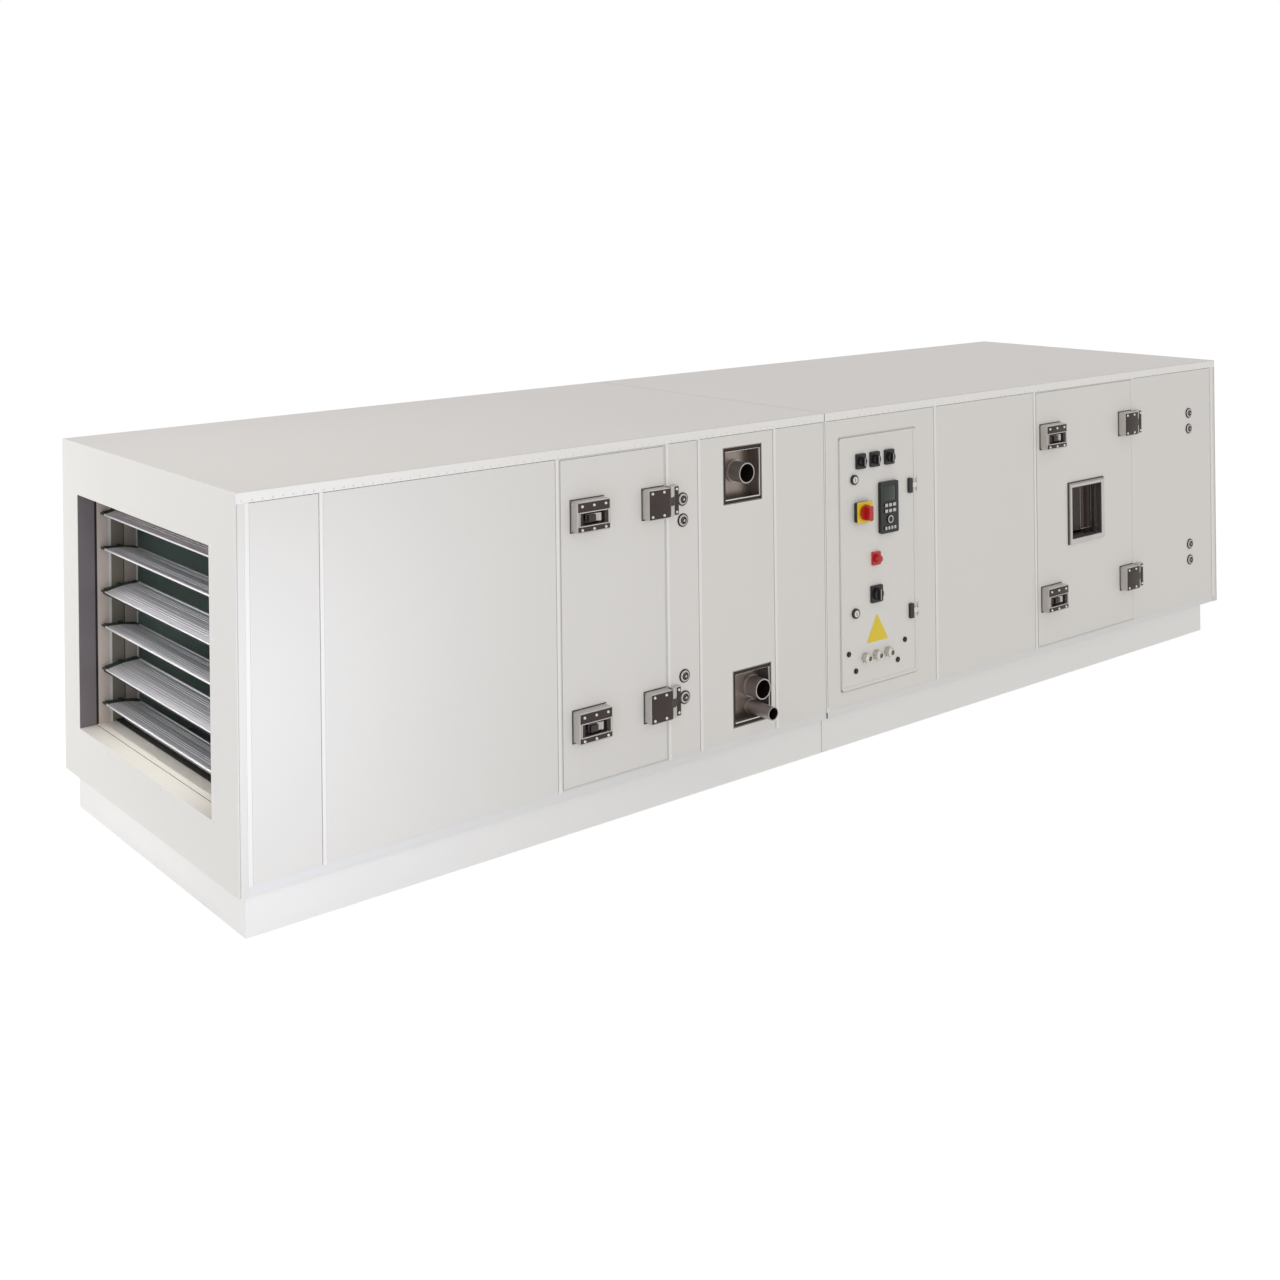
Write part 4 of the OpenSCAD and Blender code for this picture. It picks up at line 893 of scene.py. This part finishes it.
class UNIT_OT_operator_keys(bpy.types.Operator):
    """Adds the display and the key caps of the operator panel"""

    bl_idname = "unit.operator_keys"
    bl_label = "Operator panel keys"

    def execute(self, context):
        low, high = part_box("operator_panel")
        face = low.y + SUNK_FACE
        width, height = high.x - low.x, high.z - low.z
        edge = 14 * MM
        row = height / 9
        inner = width - 2 * edge
        gap, key_front = 2.6 * MM, face - 3.8 * MM
        key_bottom, key_top = 0.5 * MM, 11.5 * MM
        keys = bmesh.new()
        for count, rows in ((3, 4.6), (3, 3.6), (4, 0.6)):
            pitch, z = inner / count, low.z + rows * row
            for i in range(count):
                x = low.x + edge + i * pitch
                block(keys, (x + gap, key_front, z + key_bottom),
                      (x + pitch - gap, face, z + key_top), 1 * MM)
        pad = Vector((low.x + width / 2, face - 3 * MM, low.z + 2.4 * row))
        ring(keys, pad, row * 0.5, row * 0.68, 1.2 * MM)
        make_piece(keys, "operator_keys", "abs_key_grey", "control_door")
        display = bmesh.new()
        rim = 1 * MM
        block(display, (low.x + edge + rim, face + 0.6 * MM, low.z + height * 0.62 + rim),
              (high.x - edge - rim, face + 1.9 * MM, low.z + height * 0.92 - rim), 0.4 * MM)
        make_piece(display, "operator_display", "display_green", "control_door")
        return {"FINISHED"}


class UNIT_OT_switch_marks(bpy.types.Operator):
    """Adds pale pointers to the rotary switches and dark rings to the locks"""

    bl_idname = "unit.switch_marks"
    bl_label = "Switch pointers and lock rings"

    def execute(self, context):
        half_switch, lock_radius = 22 * MM, 15 * MM
        marks = bmesh.new()
        low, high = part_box("cam_switches")
        for share in (0.0, 0.49, 1.0):
            x = low.x + half_switch + (high.x - low.x - 2 * half_switch) * share
            self.pointer(marks, x, low.y, (low.z + high.z) / 2, 2 * MM, 26 * MM)
        low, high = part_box("selector_switch")
        self.pointer(marks, (low.x + high.x) / 2, low.y, (low.z + high.z) / 2, 2.4 * MM, 36 * MM)
        make_piece(marks, "switch_pointers", "abs_key_grey", "control_door")
        rings = bmesh.new()
        low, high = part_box("door_locks")
        for z in (low.z + lock_radius, high.z - lock_radius):
            centre = Vector(((low.x + high.x) / 2, high.y - 1 * MM, z))
            ring(rings, centre, 11.3 * MM, 16.5 * MM, 6 * MM)
        make_piece(rings, "lock_rings", "abs_black", "control_door")
        return {"FINISHED"}

    def pointer(self, bm, x, face, z, width, length):
        """A pale bar along a handle."""
        block(bm, (x - width / 2, face - 0.8 * MM, z - length / 2),
              (x + width / 2, face, z + length / 2), 0.3 * MM)


class UNIT_OT_pocket_lips(bpy.types.Operator):
    """Folds a thin pale lip round each pipe pocket, with dark strips outside it: painted highlight
    and painted shadow
    """

    bl_idname = "unit.pocket_lips"
    bl_label = "Pocket lips"

    def execute(self, context):
        wall, recess, thick, shy = POCKET_WALL, 3 * MM, 6 * MM, 0.5 * MM
        lip, top_lip, top_depth = 3.5 * MM, 2.5 * MM, 4 * MM
        lips, seals = bmesh.new(), bmesh.new()
        for low, high in pipe_pockets():
            x0, x1, z0, z1 = low.x + wall, high.x - wall, low.z + wall, high.z - wall
            front, back = low.y + recess, low.y + recess + thick
            left, right, bottom, top = x0 + 10 * MM, x1 - 5 * MM, z0 + 8 * MM, z1 - 11 * MM
            # The dark rubber strips at the left, top and bottom paint the pocket's shadow; the
            # bright lips are painted highlight
            bars(seals, (((x0, z0), (left, z1)), ((left, top), (x1, z1)),
                         ((left, z0), (x1, bottom))), front, back, 0.0)
            bars(lips, (((right, bottom), (x1 - shy, top)),
                        ((left, bottom), (right, bottom + lip))), front, back, 0.4 * MM, 1)
            bars(lips, (((left, top - top_lip), (right, top)),), front + top_depth, back,
                 0.4 * MM, 1)
        make_piece(lips, "pocket_lips", "zinc_plated_screw", "casing")
        make_piece(seals, "pocket_shadow_strips", "rubber_brown", "casing")
        return {"FINISHED"}


class UNIT_OT_port_rings(bpy.types.Operator):
    """Rings each measuring port in black: painted shade round its foot and in its groove, and a
    dark ring on its face
    """

    bl_idname = "unit.port_rings"
    bl_label = "Port rings"

    def execute(self, context):
        low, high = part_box("measuring_ports")
        radius, lower_pitch, upper_pitch = 16.5 * MM, 64 * MM, 63 * MM
        first, last = low.z + radius, high.z - radius
        bm = bmesh.new()
        for x in (low.x + radius, high.x - radius):
            for z in (first, first + lower_pitch, last - upper_pitch, last):
                # Black rings: round the port's foot and in its groove they are painted shade; the
                # last lies on the port's face
                for y, inner, outer, height in (
                        (high.y, radius + 0.2 * MM, radius + 3.5 * MM, 2.5 * MM),
                        (high.y - 4 * MM, 8.6 * MM, 11.5 * MM, 2.4 * MM),
                        (low.y, 4.5 * MM, 8.3 * MM, 0.8 * MM)):
                    ring(bm, Vector((x, y, z)), inner, outer, height)
        make_piece(bm, "port_rings", "rubber_black", "casing")
        return {"FINISHED"}


class UNIT_OT_blade_lips(bpy.types.Operator):
    """Lays a rubber lip along the front edge of two damper blades, and a seal on the sill that also
    paints the shadow under the lowest blade
    """

    bl_idname = "unit.blade_lips"
    bl_label = "Damper rubber"

    def execute(self, context):
        mouth_low, mouth_high = intake_mouth()
        side, thick, rounding = 24 * MM, 4.5 * MM, 1 * MM
        for i in (2, 4):
            name = f"damper_blade_{i}"
            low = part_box(name)[0]
            bm = bmesh.new()
            block(bm, (low.x - 1 * MM, mouth_low.y + side, low.z - 0.5 * MM),
                  (low.x + 7 * MM, mouth_high.y - side, low.z + thick), rounding)
            make_piece(bm, f"damper_lip_{i}", "rubber_black", name)
        # The black sill seal also paints the shadow under the lowest blade
        low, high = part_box("damper_blade_1")
        axis = (low.x + high.x) / 2
        bm = bmesh.new()
        block(bm, (axis - 12 * MM, mouth_low.y + 1 * MM, mouth_low.z),
              (axis + 8 * MM, mouth_high.y - 1 * MM, mouth_low.z + thick), rounding)
        make_piece(bm, "damper_sill_seal_and_shadow", "rubber_black", "casing")
        return {"FINISHED"}


class UNIT_OT_end_screws(bpy.types.Operator):
    """Sets the screws beside and below the intake opening"""

    bl_idname = "unit.end_screws"
    bl_label = "Intake end screws"

    def execute(self, context):
        low, high = intake_mouth()
        off, radius, head = 14 * MM, 3 * MM, 0.5 * MM
        beside = [(low.y - off, low.z + (high.z - low.z) * share)
                  for share in (0.0, 0.32, 0.66, 1.0)]
        below = [(low.y + (high.y - low.y) * share, low.z - off) for share in (0.35, 0.75)]
        bm = bmesh.new()
        for y, z in beside + below:
            round_head(bm, (low.x, y, z), radius, head, Vector((-1, 0, 0)))
        make_piece(bm, "intake_end_screws", "zinc_plated_screw", "casing")
        return {"FINISHED"}


class UNIT_OT_window_bars(bpy.types.Operator):
    """Puts a thin guard frame in front of the window pane, a gasket line round the pane, and a line
    of painted shadow round the frame
    """

    bl_idname = "unit.window_bars"
    bl_label = "Window bars"

    def execute(self, context):
        low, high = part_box("window_pane")
        left, right = (low.x + (high.x - low.x) * share for share in (0.555, 0.92))
        foot = low.z + (high.z - low.z) * 0.09
        back, wide, thick = low.y - 0.2 * MM, 3.5 * MM, 1.5 * MM
        bm = bmesh.new()
        bars(bm, (((left, foot), (left + wide, high.z)), ((right, foot), (right + wide, high.z)),
                  ((left, foot), (right, foot + wide))), back - thick, back, 0.4 * MM)
        make_piece(bm, "window_bars", "steel_bar_grey", "fan_door")
        self.seals(low, high)
        return {"FINISHED"}

    def seals(self, low, high):
        """Dark lines: a gasket inside the frame, and painted shadow round it on the door."""
        frame_low, frame_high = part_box("window_frame")
        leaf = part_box("fan_door")[0].y
        inner, outer, thick = 3 * MM, 2 * MM, 1.5 * MM
        bm = bmesh.new()
        loop(bm, low, high, -inner, frame_low.y + thick, frame_low.y + 12 * MM)
        loop(bm, frame_low, frame_high, outer, leaf - thick, leaf)
        make_piece(bm, "window_seals_and_shadow", "rubber_grey", "fan_door")


class UNIT_OT_door_seals(bpy.types.Operator):
    """Fills the gaps round the doors with pale lip seals and covers the fan door's right gap"""

    bl_idname = "unit.door_seals"
    bl_label = "Door seals"

    def execute(self, context):
        wide, gap = 7.5 * MM, DOOR_GAP
        self.seal("filter_door", (wide, wide, gap, gap), (1.2, 1.0, 0.8, 0.8))
        self.seal("fan_door", (wide, gap, gap, gap), (1.2, 0.3, 0.8, 0.8))
        low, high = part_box("fan_door")
        left, overlap, proud, shy = high.x + 0.4 * MM, 4 * MM, 0.3 * MM, 0.05 * MM
        bm = bmesh.new()
        block(bm, (left, low.y - proud, low.z), (high.x + gap + overlap, low.y - shy, high.z))
        make_piece(bm, "fan_door_cover_strip", "powder_coat_white", "casing")
        self.seal("control_door", (gap,) * 4, (0.5, 1.0, 0.6, 0.6), service_face())
        return {"FINISHED"}

    def seal(self, name, gaps, lines, face=None):
        """Four bars round a leaf, in its left, right, lower and upper gaps. The lines that stay
        open between the leaf and the bars are in millimetres."""
        low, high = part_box(name)
        face = low.y if face is None else face
        left, right, down, up = gaps
        open_left, open_right, open_down, open_up = (line * MM for line in lines)
        inset = 0.2 * MM
        x0, x1 = low.x - left + inset, high.x + right - inset
        z0, z1 = low.z - down + inset, high.z + up - inset
        inner0, inner1 = low.x - open_left, high.x + open_right
        spans = (((x0, z0), (inner0, z1)), ((inner1, z0), (x1, z1)),
                 ((inner0, z0), (inner1, low.z - open_down)),
                 ((inner0, high.z + open_up), (inner1, z1)))
        bm = bmesh.new()
        bars(bm, spans, face + 0.6 * MM, face + 9 * MM, 0.5 * MM, 1)
        make_piece(bm, f"{name}_seal", "rubber_white", "casing")


class UNIT_OT_door_plate(bpy.types.Operator):
    """Fixes a plain yellow plate with three corners on the control door"""

    bl_idname = "unit.door_plate"
    bl_label = "Plain door plate"

    def execute(self, context):
        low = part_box("control_door")[0]
        radius, thick, rounding = 60 * MM, 1.2 * MM, 5 * MM
        centre = low + Vector((170 * MM, SUNK_FACE - thick / 2, 166 * MM))
        turn = Matrix.Rotation(math.radians(90), 4, "X")
        bm = bmesh.new()
        bmesh.ops.create_cone(bm, cap_ends=True, segments=3, radius1=radius, radius2=radius,
                              depth=thick, matrix=Matrix.Translation(centre) @ turn)
        through = [e for e in bm.edges if abs(e.verts[0].co.y - e.verts[1].co.y) > thick / 2]
        bmesh.ops.bevel(bm, geom=through, offset=rounding, affect="EDGES", segments=3,
                        profile=0.5, material=-1)
        make_piece(bm, "door_plate_plain", "abs_yellow", "control_door")
        return {"FINISHED"}


class UNIT_OT_stage(bpy.types.Operator):
    """Lays the floor and sets the light and the camera"""

    bl_idname = "unit.stage"
    bl_label = "Stage"

    def execute(self, context):
        stage = settings("unit_stage")
        self.floor(stage)
        self.room(context, stage)
        blue, cool, warm = (0.80, 0.86, 1.0), (0.97, 0.985, 1.0), (1.0, 0.985, 0.955)
        for name, place, target, size, power, colour in (
                ("corner", (-2.25, -1.3, 0.6), (-2.1, -0.56, 0.6), 0.7, stage.key_power, blue),
                ("end", (-3.6, 1.3, 1.0), (-2.2, 0.3, 0.6), 1.4, stage.end_power, cool),
                ("fill", (-0.5, -5.5, 1.2), (-0.1, -0.6, 0.6), 5.0, stage.fill_power, warm),
                ("roof", (-2.2, -0.1, 2.6), (-2.0, -0.1, 1.1), 1.0, stage.roof_power, warm)):
            self.lamp(f"{name}_light", place, target, (size, size), power, colour)
        low, high = intake_mouth()
        middle = (low.y + high.y) / 2
        self.lamp("mouth_light", (low.x + 12 * MM, middle, high.z - 6 * MM),
                  (low.x + 30 * MM, middle, low.z), (0.7, 0.02), stage.mouth_power, warm,
                  math.radians(42))
        self.camera(context, stage)
        context.scene.view_settings.view_transform = "Standard"
        return {"FINISHED"}

    def floor(self, stage):
        """A wide pale floor that reads as white and keeps the unit's shadow."""
        bm = bmesh.new()
        bmesh.ops.create_grid(bm, x_segments=1, y_segments=1, size=stage.floor_size / 2)
        mesh = bpy.data.meshes.new("studio_floor")
        bm.to_mesh(mesh)
        bm.free()
        floor = bpy.data.objects.new("studio_floor", mesh)
        bpy.context.scene.collection.objects.link(floor)
        pale, glow_strength, glow_share = (0.93, 0.93, 0.93, 1), 1.12, 0.80
        tree, _ = start("studio_floor_white")
        surface = add(tree, "ShaderNodeBsdfPrincipled", {"Base Color": pale, "Roughness": 0.9})
        glow = add(tree, "ShaderNodeEmission", {"Color": (1, 1, 1, 1), "Strength": glow_strength})
        share = add(tree, "ShaderNodeMath", {0: self.seen_directly(tree), 1: glow_share},
                    operation="MULTIPLY")
        mix = add(tree, "ShaderNodeMixShader",
                  {"Fac": share.outputs[0], 1: surface.outputs["BSDF"],
                   2: glow.outputs["Emission"]})
        add(tree, "ShaderNodeOutputMaterial", {"Surface": mix.outputs["Shader"]},
            is_active_output=True)
        mesh.materials.append(bpy.data.materials["studio_floor_white"])

    def seen_directly(self, tree):
        """1 for rays from the camera, from gloss and through glass."""
        path = add(tree, "ShaderNodeLightPath")
        first = add(tree, "ShaderNodeMath", {0: path.outputs["Is Camera Ray"],
                    1: path.outputs["Is Glossy Ray"]}, operation="MAXIMUM")
        both = add(tree, "ShaderNodeMath", {0: first.outputs[0],
                   1: path.outputs["Is Transmission Ray"]}, operation="MAXIMUM")
        return both.outputs[0]

    def room(self, context, stage):
        """Even room light, seen as white."""
        world = bpy.data.worlds.new("studio_room")
        context.scene.world = world
        world.use_nodes = True
        tree = world.node_tree
        tree.nodes.clear()
        seen = self.seen_directly(tree)
        level = add(tree, "ShaderNodeMapRange",
                    {"Value": seen, "To Min": stage.sky_strength, "To Max": 1.0})
        room = add(tree, "ShaderNodeMix",
                   {"Factor": seen, 6: (1.0, 0.985, 0.965, 1), 7: (1, 1, 1, 1)}, data_type="RGBA")
        glow = add(tree, "ShaderNodeBackground",
                   {"Color": room.outputs[2], "Strength": level.outputs["Result"]})
        add(tree, "ShaderNodeOutputWorld", {"Surface": glow.outputs["Background"]})

    def lamp(self, name, place, target, size, power, colour, spread=math.pi):
        """A soft light that looks at a point and isn't seen itself."""
        light = bpy.data.lights.new(name, "AREA")
        light.shape = "RECTANGLE"
        light.size, light.size_y = size
        light.spread = spread
        light.energy = power
        light.color = colour
        lamp = bpy.data.objects.new(name, light)
        lamp.location = place
        toward = Vector(target) - Vector(place)
        lamp.rotation_euler = toward.to_track_quat("-Z", "Y").to_euler()
        lamp.visible_camera = False
        bpy.context.scene.collection.objects.link(lamp)

    def camera(self, context, stage):
        """The camera at the left front, above the roof, with a shifted lens."""
        data = bpy.data.cameras.new("camera")
        data.lens = stage.focal_length
        data.sensor_width = 36
        data.shift_y = stage.shift
        data.clip_end = 200
        camera = bpy.data.objects.new("camera", data)
        forward = Vector((math.sin(stage.yaw) * math.cos(stage.pitch),
                          math.cos(stage.yaw) * math.cos(stage.pitch), math.sin(stage.pitch)))
        right = Vector((math.cos(stage.yaw), -math.sin(stage.yaw), 0))
        up = right.cross(forward)
        lean = Matrix.Rotation(stage.roll, 3, forward)
        axes = Matrix((lean @ right, lean @ up, -forward)).transposed().to_4x4()
        camera.matrix_world = Matrix.Translation(stage.camera_place) @ axes
        context.scene.collection.objects.link(camera)
        context.scene.camera = camera


PIECES = (UNIT_OT_finish, UNIT_OT_roof_rivets, UNIT_OT_strip_caps, UNIT_OT_latch_faces,
          UNIT_OT_lever_grips, UNIT_OT_operator_keys, UNIT_OT_switch_marks, UNIT_OT_pocket_lips,
          UNIT_OT_port_rings, UNIT_OT_blade_lips, UNIT_OT_end_screws, UNIT_OT_window_bars,
          UNIT_OT_door_seals, UNIT_OT_door_plate, UNIT_OT_stage)


class UNIT_PT_panel(bpy.types.Panel):
    """Lists the unit's operators"""

    bl_idname = "UNIT_PT_panel"
    bl_label = "Air unit"
    bl_space_type = "VIEW_3D"
    bl_region_type = "UI"
    bl_category = "Air unit"

    def draw(self, context):
        for piece in PIECES:
            self.layout.operator(piece.bl_idname)


GROUPS = {"unit_finish": FinishSettings, "unit_fittings": FittingSettings,
          "unit_stage": StageSettings}


def register():
    for cls in (*GROUPS.values(), *PIECES, UNIT_PT_panel):
        bpy.utils.register_class(cls)
    for name, group in GROUPS.items():
        setattr(bpy.types.Scene, name, PointerProperty(type=group))


def unregister():
    for name in GROUPS:
        delattr(bpy.types.Scene, name)
    for cls in (UNIT_PT_panel, *reversed(PIECES), *reversed(GROUPS.values())):
        bpy.utils.unregister_class(cls)


def main():
    register()
    for piece in PIECES:
        group, name = piece.bl_idname.split(".")
        getattr(getattr(bpy.ops, group), name)()


if __name__ == "__main__":
    main()
